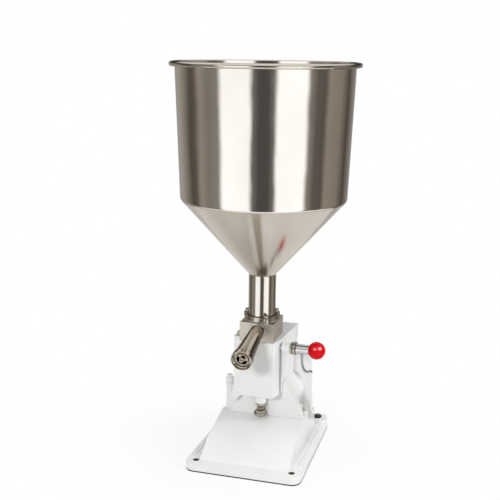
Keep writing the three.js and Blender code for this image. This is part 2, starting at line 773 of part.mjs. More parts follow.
const flankEnd = prismY(
  [[-flankHalf, headFoot + fuse], [-flankRoot, headFoot + fuse], [-flankRoot, headFoot - flankStep],
    [-flankHalf, headFoot - flankStep - flankDrop]],
  flankFront, seam,
);
const flankRoom = prismY(
  [[-flankHalf - seatGap, headTop], [-flankRoot + seatGap, headTop], [-flankRoot + seatGap, slitInner],
    [-flankHalf - seatGap, slitOuter]],
  flankFront - seatGap, seam + seatGap,
);
add("column_casting", cut(
  join(
    prismZ(columnPlan, columnFoot, headTop),
    prismY(webShape, webFront, webBack),
    prismY([[-flankHalf, columnFoot], [-flankRoot, columnFoot], [-flankRoot, slitInner], [-flankHalf, slitOuter]],
      webBack - fuse, seam + seatGap + fuse),
    loft(waistSections),
    prismY(plateShape, plateFront, columnRear),
    box(stepHalfWidth + seatGap, plateFootHalf, plateFront, columnRear, stepTop + seatGap, columnFoot + fuse),
    box(-plateFootHalf, -stepHalfWidth - seatGap, plateFront, columnRear, stepTop + seatGap, columnFoot + fuse),
    prismY(cheekShape, plateFront - cheekThick, plateFront + fuse),
    rod(studBossRadius, columnFoot, columnFoot + studBossHeight).translate(stud.x, stud.y, 0),
    box(stud.x, -headRearHalf, stud.y - studRibThick / 2, stud.y + studRibThick / 2,
      columnFoot, columnFoot + studBossHeight),
    rod(footLugRadius, columnFoot, footLugTop).translate(footBolt.x, footBolt.y, 0),
    box(headRearHalf, footBolt.x, footBolt.y - footLugRadius / 2, footBolt.y + footLugRadius / 2,
      columnFoot, footLugTop),
  ),
  headRoom,
  flankRoom,
  pocket,
  rod(studRadius + slipGap, columnFoot - overrun, columnFoot + studBossHeight + overrun)
    .translate(stud.x, stud.y, 0),
  rod(studWasherRadius + slipGap, columnFoot + studBossHeight, flareTop + overrun)
    .translate(stud.x, stud.y, 0),
  rod(footBoltRadius + slipGap, columnFoot - overrun, footLugTop + overrun)
    .translate(footBolt.x, footBolt.y, 0),
  rod(footBoltHeadRadius + footBoltPocketRim, footLugTop, footLugTop + footBoltPocketHeight)
    .translate(footBolt.x, footBolt.y, 0),
  ...backBolts.map(({ x, z }) => (
    alongY(rod(backBoltRadius + slipGap, seam - overrun, pocketFront + overrun)).translate(x, 0, z)
  )),
  alongX(rod(pegRadius + slipGap, plateHalf - pegLength, plateHalf + overrun))
    .translate(0, columnRear - plateThick / 2, columnFoot + pegRise),
  ...screwHoles(rearBlockScrews, blockScrewRadius, blockScrewTip - slipGap, headTop + overrun),
), whitePaint);

// Column fasteners.

function hexBolt(shank, length, headRadius, headHeight, flangeRadius = 0, flangeHeight = 0) {
  const body = rod(shank, -length, headHeight / 2);
  const pieces = [body, nut(headRadius, 6, flangeHeight, flangeHeight + headHeight)];
  if (flangeRadius) pieces.push(rod(flangeRadius, 0, flangeHeight + headHeight / 2));
  return join(...pieces);
}

const studWasherFoot = columnFoot + studBossHeight + seatGap;
const studHeadFoot = studWasherFoot + studWasherThick + seatGap;
const studReachDown = studHeadFoot - platformTop + studDepth;
add("column_stud_washer", tube(studWasherRadius, studRadius + slipGap, studWasherFoot,
  studWasherFoot + studWasherThick, smallSteps).translate(stud.x, stud.y, 0), whitePaint);
add("column_stud_bolt", hexBolt(studRadius, studReachDown, studHeadRadius, studHeadHeight,
  studFlangeRadius, studFlangeThick).translate(stud.x, stud.y, studHeadFoot), whitePaint);

const footBoltSeat = footLugTop + seatGap;
add("column_foot_bolt", hexBolt(footBoltRadius, footBoltSeat - platformTop + studDepth,
  footBoltHeadRadius, footBoltHeadHeight).translate(footBolt.x, footBolt.y, footBoltSeat), screwSteel);

add("column_peg", alongX(rod(pegRadius, plateHalf + seatGap - pegLength, plateHalf + pegProud, screwSteps))
  .translate(0, columnRear - plateThick / 2, columnFoot + pegRise), darkSteel);

backBolts.forEach(({ x, z, name }) => {
  const bolt = socketScrew(backBoltRadius, pocketFront - backBoltTip, backBoltHeadRadius, backBoltHeadHeight);
  add(`head_bolt_${name}`, alongY(bolt).translate(x, pocketFront + seatGap, z), screwSteel);
});

// Valve block, its screws and gaskets.

const blockCounterbore = blockScrewHeadHeight + seatGap;
const blockScrewSeat = blockTop - blockCounterbore + seatGap;

const nozzle = new THREE.Group();
nozzle.position.set(0, -blockFront, blockFoot + nozzleRise);
nozzle.rotation.x = Math.PI / 2 + THREE.MathUtils.degToRad(nozzleTilt);
nozzle.updateMatrixWorld(true);
machine.add(nozzle);
const alongNozzle = (geometry) => geometry.applyMatrix4(nozzle.matrixWorld);
const inNozzle = (geometry) => geometry.applyMatrix4(nozzle.matrixWorld.clone().invert());

const lugPlaces = lugAngles.map((degrees) => {
  const angle = THREE.MathUtils.degToRad(degrees);
  return { x: lugCircle * Math.cos(angle), y: lugCircle * Math.sin(angle), degrees };
});
const lugScrewTip = blockTop - lugScrewBite;

add("valve_block", cut(
  prismZ(blockPlan, blockFoot, blockTop),
  rod(channelRadius, blockFoot - overrun, blockTop + overrun, turnSteps),
  alongNozzle(rod(spigotRadius + slipGap, -blockFront, overrun, turnSteps)),
  ...screwHoles(blockScrews, blockScrewRadius, blockFoot - overrun, blockTop + overrun),
  ...screwHoles(blockScrews, blockScrewHeadRadius, blockTop - blockCounterbore, blockTop + overrun),
  ...screwHoles(lugPlaces, lugScrewRadius, lugScrewTip - slipGap, blockTop + overrun),
), brushedSteel);
add("block_gasket", cut(
  prismZ(blockPlan, headTop + seatGap, headTop + seatGap + sealSheet),
  rod(channelRadius, headTop - overrun, headTop + sealSheet + overrun, turnSteps),
  ...screwHoles(blockScrews, blockScrewRadius, headTop - overrun, headTop + sealSheet + overrun),
), sealRubber);
blockScrews.forEach(({ x, y, rear, left }) => {
  const screw = socketScrew(blockScrewRadius, blockScrewSeat - blockScrewTip, blockScrewHeadRadius,
    blockScrewHeadHeight);
  add(`block_screw_${rear ? "rear" : "front"}_${left ? "left" : "right"}`,
    screw.translate(x, y, blockScrewSeat), screwSteel);
});

// Head: bored box on the column, open slot for the handle, boss for the adjusting screw.

const glandFoot = headTop - glandThick;
const adjustBossFoot = headFoot - adjustBossDrop;
add("head_casting", cut(
  join(
    prismZ(headPlan, headFoot, headTop),
    flankEnd,
    rod(adjustBossRadius, adjustBossFoot, headFoot + floorThick),
  ),
  rod(boreRadius, headFoot + floorThick, headTop + overrun, turnSteps),
  rod(glandRadius + slipGap, glandFoot - seatGap, headTop + overrun, turnSteps),
  rod(adjustRadius + slipGap, adjustBossFoot - overrun, headFoot + floorThick + overrun),
  box(boreRadius - overrun, headRearHalf + overrun, -slotWidth / 2, slotWidth / 2, headFoot - overrun, stemHeight),
  alongX(rod(slotWidth / 2, boreRadius - overrun, headRearHalf + overrun)).translate(0, 0, stemHeight),
  rod(capBoltRadius + slipGap, headTop - capBoltLength - slipGap, headTop + overrun)
    .translate(-capBoltX, capBoltY, 0),
  ...backBolts.map(({ x, z }) => (
    alongY(rod(backBoltRadius + slipGap, backBoltTip - slipGap, seam + overrun)).translate(x, 0, z)
  )),
  ...screwHoles(frontBlockScrews, blockScrewRadius, blockScrewTip - slipGap, headTop + overrun),
), whitePaint);
const capBoltSeat = headTop + seatGap;
const crownShares = [[1, 0], [0.88, 0.55], [0.5, 0.9], [0, 1]];
add("head_cap_bolt", join(
  rod(capBoltRadius, headTop - capBoltLength, capBoltSeat + overrun),
  turned([[0, capBoltSeat], [capBoltHeadRadius, capBoltSeat],
    ...crownShares.map(([inward, rise]) => (
      [capBoltHeadRadius * inward, capBoltSeat + capBoltHeadHeight - capBoltCrown * (1 - rise)]
    ))], smallSteps),
).translate(-capBoltX, capBoltY, 0), screwSteel);

// Plunger and its seals.

add("plunger_gland", tube(glandRadius, plungerRadius + slipGap, glandFoot, headTop), brassMetal);
[0, 1].forEach((i) => {
  const low = blockFoot + seatGap + i * (packingHeight + seatGap);
  add(`packing_ring_${i + 1}`, tube(channelRadius - slipGap, plungerRadius + slipGap, low, low + packingHeight),
    sealRubber);
});
const plungerFoot = crossheadTop + seatGap;
const plungerTop = headTop + plungerTopRise;
add("plunger", cut(
  turned([[0, plungerFoot], [plungerRadius, plungerFoot], [plungerRadius, plungerTop - plungerChamfer],
    [plungerRadius - plungerChamfer, plungerTop], [0, plungerTop]], turnSteps),
  rod(crossScrewRadius + slipGap, plungerFoot - overrun, plungerFoot + crossScrewBite + slipGap),
), polishedSteel);
const crossPocket = crossHeadHeight + seatGap;
add("crosshead", cut(
  rod(crossheadRadius, crossheadFoot, crossheadTop, turnSteps),
  rod(crossScrewRadius + slipGap, crossheadFoot - overrun, crossheadTop + overrun),
  rod(crossHeadRadius + slipGap, crossheadFoot - overrun, crossheadFoot + crossPocket),
  alongX(rod(shankRadius + slipGap, crossheadRadius - shankBite - slipGap, crossheadRadius + overrun))
    .translate(0, 0, stemHeight),
), brassMetal);
add("crosshead_screw", socketScrew(crossScrewRadius, plungerFoot + crossScrewBite - crossheadFoot - crossPocket,
  crossHeadRadius, crossHeadHeight)
  .rotateX(Math.PI).translate(0, 0, crossheadFoot + crossHeadHeight), screwSteel);

// Handle, lying along +X at the stem's height.

const handle = new THREE.Group();
handle.position.z = stemHeight;
handle.rotation.y = Math.PI / 2;
machine.add(handle);

const sleeveEnd = sleeveStart + sleeveLength;
const collarStart = sleeveEnd + seatGap;
const collarEnd = collarStart + collarLength;
const rodStart = collarEnd + seatGap;
const rodEnd = rodStart + rodLength;
const knobFace = rodEnd + seatGap;
const knobMiddle = knobFace + Math.sqrt(knobRadius ** 2 - rodRadius ** 2);
add("stem_sleeve", turned([[shankRadius + slipGap, sleeveStart], [sleeveRadius, sleeveStart],
  [sleeveRadius, sleeveEnd - sleeveChamfer], [sleeveRadius - sleeveChamfer, sleeveEnd],
  [shankRadius + slipGap, sleeveEnd]], smallSteps), whitePaint, handle);
// Along the collar, share of its length and of the groove's depth: two beads and a groove.
const collarShares = [[0, 1], [0.08, 0.25], [0.3, 0.25], [0.38, 1], [0.48, 1], [0.56, 0], [0.9, 0], [1, 0.4]];
add("stem_collar", turned([[shankRadius + slipGap, collarStart],
  ...collarShares.map(([run, depth]) => (
    [collarRadius - depth * collarGrooveDepth, collarStart + run * collarLength]
  )),
  [shankRadius + slipGap, collarEnd]], smallSteps), chrome, handle);
const hookHole = rod(hookWire + slipGap, -rodRadius - overrun, hookHoleDepth - rodRadius)
  .rotateY(-Math.PI / 2).translate(0, 0, hookReach);
add("handle_rod", cut(
  turned([[0, crossheadRadius - shankBite], [shankRadius, crossheadRadius - shankBite], [shankRadius, rodStart],
    [rodRadius, rodStart], [rodRadius, rodEnd], [shankRadius, rodEnd], [shankRadius, rodEnd + studLength],
    [0, rodEnd + studLength]], smallSteps),
  hookHole,
), chrome, handle);
add("ball_knob", cut(
  new THREE.SphereGeometry(knobRadius, ballSteps + ballSteps / 5, ballSteps - ballSteps / 5)
    .rotateX(Math.PI / 2).translate(0, 0, knobMiddle),
  rod(knobRadius, knobMiddle - knobRadius - overrun, knobFace),
  rod(insertRadius + slipGap, knobFace - overrun, knobFace + insertLength + seatGap),
), redPlastic, handle);
add("knob_insert", tube(insertRadius, shankRadius + slipGap, knobFace + seatGap, knobFace + insertLength, smallSteps),
  brassMetal, handle);

// Hook: a wire that stands in the rod's underside and turns out along the handle.
const hookTop = hookHoleDepth - rodRadius - seatGap;
const hookShares = [[0, 0], [0, 0.45], [0.06, 0.66], [0.25, 0.9], [0.55, 1], [0.85, 1.01], [1, 0.97]];
const hookPoints = hookShares.map(([out, down]) => (
  new THREE.Vector3(hookReach + out * hookSweep, 0, stemHeight + hookTop - down * (hookDrop + hookTop + rodRadius))
));
add("hook", wire(new THREE.CatmullRomCurve3(hookPoints), hookWire, wireSides + 1, wireSteps * 2), zinc);

// Adjusting screw under the head.

const lockNutTop = adjustBossFoot - seatGap;
const lockNutFoot = lockNutTop - lockNutHeight;
const knobTop = lockNutFoot - adjustExposed;
const knobFoot = knobTop - adjustKnobHeight;
const adjustTop = crossheadFoot - stroke - adjustTravel - seatGap;
const adjustCore = adjustRadius - adjustGroove;
const adjustFoot = knobFoot + seatGap + overrun;
add("adjusting_screw", turned([[0, adjustFoot], [adjustCore, adjustFoot], [adjustCore, knobTop + adjustGroove],
  [adjustRadius, knobTop + adjustGroove + adjustGroove], [adjustRadius, adjustTop - adjustGroove],
  [adjustCore, adjustTop], [0, adjustTop]], smallSteps), chrome);
add("adjusting_lock_nut", cut(nut(lockNutRadius, 6, lockNutFoot, lockNutTop),
  rod(adjustRadius + slipGap, lockNutFoot - overrun, lockNutTop + overrun)), screwSteel);
// Up the knob, share of its height and radius; the flats are cut by a prism that meets the turned body.
const gripShares = [
  [0, 0], [0, 0.45], [0.08, 0.5], [0.13, 0.72], [0.26, 0.92], [0.42, 1], [0.6, 1], [0.8, 0.9], [0.94, 0.76],
  [1, 0.7], [1, 0],
];
add("adjusting_knob", cut(
  turned(gripShares.map(([rise, reach]) => (
    [adjustKnobRadius * reach, knobFoot + rise * adjustKnobHeight]
  )), turnSteps),
  rod(adjustCore + slipGap, knobFoot + overrun, knobTop + overrun),
), chrome);

// Neck flange, hopper.

const ringHeights = [neckFlangeFoot, neckFlangeTop];
add("flange_gasket", cut(
  join(tube(flangeRingRadius - gasketInset, channelRadius, blockTop + seatGap, blockTop + seatGap + sealSheet),
    ...lugPlaces.map(({ x, y }) => (
      rod(lugRadius - gasketInset, blockTop + seatGap, blockTop + seatGap + sealSheet).translate(x, y, 0)
    ))),
  rod(channelRadius, blockTop - overrun, blockTop + sealSheet + overrun, turnSteps),
  ...screwHoles(lugPlaces, lugScrewRadius, blockTop - overrun, blockTop + sealSheet + overrun),
), sealRubber);
add("neck_flange", cut(
  join(rod(flangeRingRadius, ...ringHeights, turnSteps),
    ...lugPlaces.map(({ x, y }) => rod(lugRadius, ...ringHeights).translate(x, y, 0))),
  rod(channelRadius, neckFlangeFoot - overrun, neckFlangeTop + overrun, turnSteps),
  ...screwHoles(lugPlaces, lugScrewRadius, neckFlangeFoot - overrun, neckFlangeTop + overrun),
), brushedSteel);
lugPlaces.forEach(({ x, y }, i) => {
  const seat = neckFlangeTop + seatGap;
  add(`flange_screw_${i + 1}`, socketScrew(lugScrewRadius, seat - lugScrewTip, lugHeadRadius, lugHeadHeight)
    .translate(x, y, seat), screwSteel);
});

const neckRadius = channelRadius + neckSheet;
add("neck_pipe", tube(neckRadius, channelRadius, neckFoot, neckTop), polishedSteel);

// The cone runs up into a knuckle that turns it into the wall.
const coneRise = coneTop - coneFoot;
const coneAngle = (() => {
  let angle = Math.atan2(hopperFootRadius - neckRadius, coneRise);
  const spread = () => hopperFootRadius - knuckleRadius * (1 - Math.cos(angle)) - neckRadius;
  for (let i = 0; i < 8; i++) angle = Math.atan2(spread(), coneRise);
  return angle;
})();
const coneTopRadius = hopperFootRadius - knuckleRadius * (1 - Math.cos(coneAngle));
const sheetRun = hopperSheet / Math.cos(coneAngle);
add("hopper_cone", turned([[neckRadius - sheetRun, coneFoot], [neckRadius, coneFoot], [coneTopRadius, coneTop],
  [coneTopRadius - sheetRun, coneTop]], roundSteps), polishedSteel);

const knuckleTop = wallFoot + knuckleRadius * Math.sin(coneAngle);
function knuckle(radius, middleRadius) {
  return Array.from({ length: knuckleSteps + 1 }, (_, i) => {
    const angle = coneAngle * (1 - i / knuckleSteps);
    return [middleRadius + radius * Math.cos(angle), knuckleTop - radius * Math.sin(angle)];
  });
}
const knuckleMiddle = hopperFootRadius - knuckleRadius;
add("hopper_wall", turned([
  ...knuckle(knuckleRadius, knuckleMiddle), [hopperTopRadius, wallTop], [hopperTopRadius - hopperSheet, wallTop],
  ...knuckle(knuckleRadius - hopperSheet, knuckleMiddle).reverse(),
], roundSteps), polishedSteel);

const beadHeight = wallTop - beadDrop;
const beadMiddle = hopperTopRadius + seatGap + beadRadius;
add("rim_bead", turned(Array.from({ length: beadSides }, (_, i) => {
  const angle = (2 * Math.PI * (i + 0.5)) / beadSides;
  return [beadMiddle + beadRadius * Math.cos(angle), beadHeight + beadRadius * Math.sin(angle)];
}), roundSteps), polishedSteel);

// Inlet valve in the neck pipe: cage, spring, ball and seat.

const insideNeck = channelRadius - slipGap;
const cageFoot = neckFoot + cageRise;
const cageTop = cageFoot + cageThick;
function arms(count, inner, outer, width, low, high) {
  return Array.from({ length: count }, (_, i) => (
    box(inner, outer, -width / 2, width / 2, low, high).rotateZ((2 * Math.PI * i) / count)
  ));
}
add("inlet_cage", join(
  tube(insideNeck, insideNeck - cageRim, cageFoot, cageTop),
  tube(cageHubRadius, cageHubBore, cageFoot, cageTop, smallSteps),
  ...arms(3, (cageHubBore + cageHubRadius) / 2, insideNeck - cageRim / 2, cageArm, cageFoot, cageTop),
), brushedSteel);
const inletSeatTop = neckTop - seatGap;
const inletSeatFoot = inletSeatTop - inletSeatHeight;
add("inlet_seat", turned([[inletSeatBore, inletSeatFoot], [insideNeck, inletSeatFoot], [insideNeck, inletSeatTop],
  [insideNeck - inletSeatLip, inletSeatTop], [inletSeatBore, inletSeatTop - inletSeatStep]], turnSteps),
brushedSteel);
const ballHeight = inletSeatFoot - Math.sqrt(inletBallRadius ** 2 - inletSeatBore ** 2) - slipGap;
add("inlet_ball", new THREE.SphereGeometry(inletBallRadius, ballSteps, ballSteps / 2).rotateX(Math.PI / 2)
  .translate(0, 0, ballHeight), polishedSteel);
const springRoom = inletBallRadius + springWire + slipGap;
const inletSpringTop = ballHeight - Math.sqrt(springRoom ** 2 - inletSpringRadius ** 2) + springWire;
add("inlet_spring", spring(inletSpringRadius, springWire, cageTop + slipGap, inletSpringTop, inletSpringTurns),
  springSteel);

// Nozzle and outlet valve, in the nozzle's own frame.

const tubeEnd = nozzleTubeLength;
const blockSide = inNozzle(box(-blockLeft, blockRight, -blockFront - seatGap, blockFront, blockFoot, blockTop));
const tubeBore = nozzleRootRadius - nozzleWall;
const bellStart = nozzleLength - bellLength;
add("nozzle_tube", join(
  cut(turned([
    [tubeShoulderBore, -nozzleMitre], [nozzleRootRadius, -nozzleMitre],
    [nozzleRootRadius, rootRingLength + tubeShoulder], [nozzleFlareRadius, bellStart - seatGap],
    [nozzleEndRadius, bellStart - seatGap], [nozzleEndRadius, tubeEnd],
    [nozzleEndRadius - nozzleWall, tubeEnd], [tubeBore, tubeShoulder + outletSeatLength + poppetHead],
    [tubeBore, tubeShoulder], [tubeShoulderBore, tubeShoulder],
  ], turnSteps), blockSide),
  tube(spigotRadius, tubeShoulderBore, -spigotReach, tubeShoulder),
), polishedSteel, nozzle);
// The root ring lies flat on the block's face, so the tube passes it at a slant.
add("nozzle_root_ring", cut(
  alongY(turned([[0, -rootRingLength], [rootRingRadius - rootRingEdge, -rootRingLength],
    [rootRingRadius, rootRingEdge - rootRingLength], [rootRingRadius, 0], [0, 0]], turnSteps))
    .translate(0, -blockFront - seatGap, blockFoot + nozzleRise),
  alongNozzle(rod(nozzleRootRadius + slipGap, -nozzleMitre, nozzleMitre + nozzleMitre, turnSteps)),
), polishedSteel);
const outletSeatStart = tubeShoulder + seatGap;
add("outlet_seat", tube(tubeBore - slipGap, outletSeatBore, outletSeatStart,
  outletSeatStart + outletSeatLength, smallSteps), brushedSteel, nozzle);

const nozzleSealStart = tubeEnd + seatGap;
const discStart = nozzleSealStart + nozzleSealThick + seatGap;
const discEnd = discStart + insertDiscThick;
const hubStart = discStart - insertTail;
const hubEnd = discEnd + hubProud;
add("nozzle_seal", tube(nozzleEndRadius - slipGap, nozzleEndRadius - nozzleWall, nozzleSealStart,
  nozzleSealStart + nozzleSealThick), sealRubber, nozzle);
add("nozzle_insert", join(
  tube(bellBore - slipGap, insertRingInner, discStart, discEnd),
  tube(insertRingOuter, insertRingInner, discStart, discEnd + insertRingProud),
  tube(hubRadius, hubBore, hubStart, hubEnd, smallSteps),
  ...arms(3, (hubRadius + hubBore) / 2, insertRingOuter, insertArm, discStart, discEnd),
), brushedSteel, nozzle);
const bellMouth = bellRadius - bellLip;
add("nozzle_bell", turned([
  [bellBore, bellStart], [bellBore + bellBackStep, bellStart],
  [bellRadius, bellStart + bellShoulder], [bellRadius, nozzleLength - bellLip / 2],
  [bellRadius - bellLip / 2, nozzleLength], [bellMouth, nozzleLength], [bellMouth, bellStart + bellSocket],
  [bellBore, bellStart + bellSocket - (bellMouth - bellBore)],
], turnSteps), polishedSteel, nozzle);

const poppetStart = outletSeatStart + outletSeatLength + slipGap;
const poppetBack = poppetStart + poppetHead;
add("outlet_poppet", turned([
  [0, poppetStart], [outletSeatBore, poppetStart], [poppetRadius, poppetStart + poppetHead / 2],
  [poppetRadius, poppetBack], [poppetStem, poppetBack], [poppetStem, discEnd + hubProud / 2],
  [0, discEnd + hubProud / 2],
], smallSteps), polishedSteel, nozzle);

export default machine;
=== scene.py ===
"""Looks of the manual paste filling machine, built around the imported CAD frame. +Z up, front at -Y.

Blender works in metres. Sizes and places of pieces are in mm here, and MM turns them into metres.
"""

import json
import math

import bmesh
import bpy
from mathutils import Matrix, Vector

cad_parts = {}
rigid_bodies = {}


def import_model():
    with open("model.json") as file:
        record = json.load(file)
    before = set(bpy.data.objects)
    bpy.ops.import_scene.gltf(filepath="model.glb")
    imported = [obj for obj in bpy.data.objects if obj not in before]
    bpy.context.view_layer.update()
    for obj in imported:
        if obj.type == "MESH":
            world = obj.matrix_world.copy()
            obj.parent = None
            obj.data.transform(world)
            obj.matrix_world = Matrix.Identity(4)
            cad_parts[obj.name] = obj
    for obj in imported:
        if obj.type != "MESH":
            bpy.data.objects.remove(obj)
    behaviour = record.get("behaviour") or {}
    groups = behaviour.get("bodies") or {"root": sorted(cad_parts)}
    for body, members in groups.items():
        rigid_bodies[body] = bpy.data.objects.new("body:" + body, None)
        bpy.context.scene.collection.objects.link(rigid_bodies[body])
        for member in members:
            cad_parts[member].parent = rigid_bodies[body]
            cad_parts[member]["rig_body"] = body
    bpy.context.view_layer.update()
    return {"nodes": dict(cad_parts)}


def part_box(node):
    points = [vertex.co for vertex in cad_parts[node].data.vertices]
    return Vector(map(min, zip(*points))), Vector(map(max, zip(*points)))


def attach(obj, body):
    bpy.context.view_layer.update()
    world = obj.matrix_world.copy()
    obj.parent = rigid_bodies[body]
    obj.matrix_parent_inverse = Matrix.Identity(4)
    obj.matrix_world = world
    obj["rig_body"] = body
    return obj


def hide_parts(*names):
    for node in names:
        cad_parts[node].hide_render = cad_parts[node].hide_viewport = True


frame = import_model()

MM = 0.001
ROUND = 160  # sides of the hopper
TURN = 80  # sides of middle-sized turned pieces
SMALL = 48  # sides of small turned pieces
SEAM_ANGLE = math.radians(32)  # edges sharper than this stay sharp
FLAT_ANGLE = math.radians(1.5)  # faces that differ by less are joined
WELD = 1e-6  # metres, points nearer than this are one
CAD_WELD = 20 * WELD
ON_AXIS = 1e-4  # mm, a radius under this is a point on the axis
FACE_WEIGHT = 80  # over 50, large faces count for more where face directions are averaged
FULL_TURN = 2 * math.pi
QUARTER_TURN = math.pi / 2
ROWS = ("front", "rear")
SIDES = ("left", "right")


# Materials.

WIDE, NARROW = (0.3, 0.7), (0.35, 0.65)  # the parts of a noise's range that a change runs over
FINE_BUMP, FINEST_BUMP = 0.0003, 0.0002  # metres
NEW_STOP = 0.5  # where a ramp's new stop waits for its place


def shader_of(mat):
    return mat.node_tree.nodes["Principled BSDF"]


def material(name, color, roughness, metallic=0.0, specular=0.5, coat=0.0, coat_roughness=0.05):
    """A Principled material with its constants set on the shader's own sockets."""
    mat = bpy.data.materials.new(name)
    mat.use_nodes = True
    shader = shader_of(mat)
    shader.inputs["Base Color"].default_value = (*color, 1)
    shader.inputs["Metallic"].default_value = metallic
    shader.inputs["Roughness"].default_value = roughness
    shader.inputs["Specular IOR Level"].default_value = specular
    shader.inputs["Coat Weight"].default_value = coat
    shader.inputs["Coat Roughness"].default_value = coat_roughness
    return mat


def node(owner, kind, **settings):
    """A new node of a material or a world, with its sockets and options set by name."""
    made = owner.node_tree.nodes.new(kind)
    for key, value in settings.items():
        if key in made.inputs:
            made.inputs[key].default_value = value
        else:
            setattr(made, key, value)
    return made


def link(owner, source, output, target, socket):
    owner.node_tree.links.new(source.outputs[output], target.inputs[socket])


def coordinates(mat, stretch=(1, 1, 1)):
    """The piece's own coordinates, stretched."""
    place = node(mat, "ShaderNodeTexCoord")
    mapping = node(mat, "ShaderNodeMapping", Scale=stretch)
    link(mat, place, "Object", mapping, "Vector")
    return mapping


def noise(mat, mapping, scale, detail, roughness=0.5):
    made = node(mat, "ShaderNodeTexNoise", Scale=scale, Detail=detail, Roughness=roughness)
    link(mat, mapping, "Vector", made, "Vector")
    return made


def mapped(owner, source, output, given, wanted):
    """Maps one range of a node's output onto another."""
    made = node(owner, "ShaderNodeMapRange")
    for key, value in zip(("From Min", "From Max", "To Min", "To Max"), (*given, *wanted)):
        made.inputs[key].default_value = value
    link(owner, source, output, made, "Value")
    return made


def ramped(owner, source, output, stops):
    """A colour ramp with a stop for each place and colour."""
    ramp = node(owner, "ShaderNodeValToRGB")
    elements = ramp.color_ramp.elements
    while len(elements) < len(stops):
        elements.new(NEW_STOP)
    for element, (position, color) in zip(elements, stops):
        element.position = position
        element.color = color
    link(owner, source, output, ramp, "Fac")
    return ramp


def tint(mat, source, span, first, second):
    """A colour that drifts between two tones with a noise."""
    ramp = ramped(mat, source, "Fac", [(span[0], (*first, 1)), (span[1], (*second, 1))])
    link(mat, ramp, "Color", shader_of(mat), "Base Color")


def bumped(mat, source, strength, distance):
    bump = node(mat, "ShaderNodeBump", Strength=strength, Distance=distance)
    link(mat, source, "Fac", bump, "Height")
    link(mat, bump, "Normal", shader_of(mat), "Normal")


def roughened(mat, source, least, most):
    made = mapped(mat, source, "Fac", WIDE, (least, most))
    link(mat, made, "Result", shader_of(mat), "Roughness")


def enamel(name, plain, first, second):
    """White paint on a casting: faint orange peel and a slow change of tone."""
    mat = material(name, plain, roughness=0.32, coat=0.35, coat_roughness=0.12)
    place = coordinates(mat)
    tint(mat, noise(mat, place, scale=22, detail=4), WIDE, first, second)
    bumped(mat, noise(mat, place, scale=900, detail=2), strength=0.03, distance=FINEST_BUMP)
    roughened(mat, noise(mat, place, scale=60, detail=3), least=0.3, most=0.36)
    return mat


def steel(name, first, second, stretch, roughness, uneven, grain, bump, rim=1.0):
    """Bare metal with fine lines along the stretched axes and a slow change of tone.

    A rim under 1 darkens what the metal mirrors at a glancing angle.
    """
    mat = material(name, first, roughness, metallic=1.0)
    shader_of(mat).inputs["Specular Tint"].default_value = (rim, rim, rim, 1)
    lines = coordinates(mat, stretch)
    tint(mat, noise(mat, coordinates(mat), scale=9, detail=3), NARROW, first, second)
    fine = noise(mat, lines, grain, detail=4, roughness=0.65)
    roughened(mat, fine, roughness - uneven, roughness + uneven)
    bumped(mat, fine, bump, FINE_BUMP)
    return mat


def rippled(mat, scale, strength, distance):
    """Adds slow waves under the fine lines, as in rolled sheet."""
    fine = next(made for made in mat.node_tree.nodes if made.bl_idname == "ShaderNodeBump")
    waves = node(mat, "ShaderNodeBump", Strength=strength, Distance=distance)
    link(mat, noise(mat, coordinates(mat, TALL_WAVES), scale, detail=1.5), "Fac", waves, "Height")
    link(mat, waves, "Normal", fine, "Normal")


def rubber(name, dark, light):
    mat = material(name, dark, roughness=0.7, specular=0.3)
    place = coordinates(mat)
    grain = noise(mat, place, scale=700, detail=3)
    tint(mat, noise(mat, place, scale=40, detail=3), WIDE, dark, light)
    bumped(mat, grain, strength=0.15, distance=FINEST_BUMP)
    roughened(mat, grain, least=0.62, most=0.8)
    return mat


def plastic(name, first, second, roughness):
    mat = material(name, first, roughness, specular=0.12)
    place = coordinates(mat)
    tint(mat, noise(mat, place, scale=30, detail=2), NARROW, first, second)
    bumped(mat, noise(mat, place, scale=140, detail=2), strength=0.03, distance=FINE_BUMP)
    return mat


ROUND_LINES = (1, 1, 12)  # stretches noise into lines round a turned piece
LONG_LINES = (10, 10, 0.6)  # stretches noise into lines up and down
NO_LINES = (1, 1, 1)
TALL_WAVES = (1, 1, 0.6)

WHITE = enamel("white_enamel", (0.86, 0.86, 0.85), (0.825, 0.828, 0.822), (0.85, 0.85, 0.842))
HOPPER = steel("hopper_steel", (0.72, 0.665, 0.6), (0.79, 0.74, 0.68), LONG_LINES,
               roughness=0.08, uneven=0.02, grain=40, bump=0.02, rim=0.6)
rippled(HOPPER, scale=20, strength=0.5, distance=0.0016)
CONE = steel("cone_steel", (0.6, 0.545, 0.475), (0.66, 0.605, 0.535), LONG_LINES,
             roughness=0.17, uneven=0.04, grain=40, bump=0.02)
POLISHED = steel("polished_steel", (0.66, 0.6, 0.52), (0.74, 0.68, 0.6), ROUND_LINES,
                 roughness=0.12, uneven=0.03, grain=220, bump=0.02, rim=0.5)
NOZZLE_STEEL = steel("nozzle_steel", (0.56, 0.5, 0.42), (0.64, 0.57, 0.49), ROUND_LINES,
                     roughness=0.14, uneven=0.02, grain=220, bump=0.01, rim=0.3)
BRUSHED = steel("brushed_steel", (0.6, 0.54, 0.46), (0.66, 0.6, 0.52), ROUND_LINES,
                roughness=0.39, uneven=0.07, grain=300, bump=0.08)
VALVE_STEEL = steel("valve_steel", (0.4, 0.35, 0.29), (0.5, 0.44, 0.37), ROUND_LINES,
                    roughness=0.2, uneven=0.04, grain=300, bump=0.03, rim=0.4)
CHROME = steel("bright_chrome", (0.66, 0.66, 0.67), (0.74, 0.74, 0.75), ROUND_LINES,
               roughness=0.08, uneven=0.03, grain=200, bump=0.02, rim=0.3)
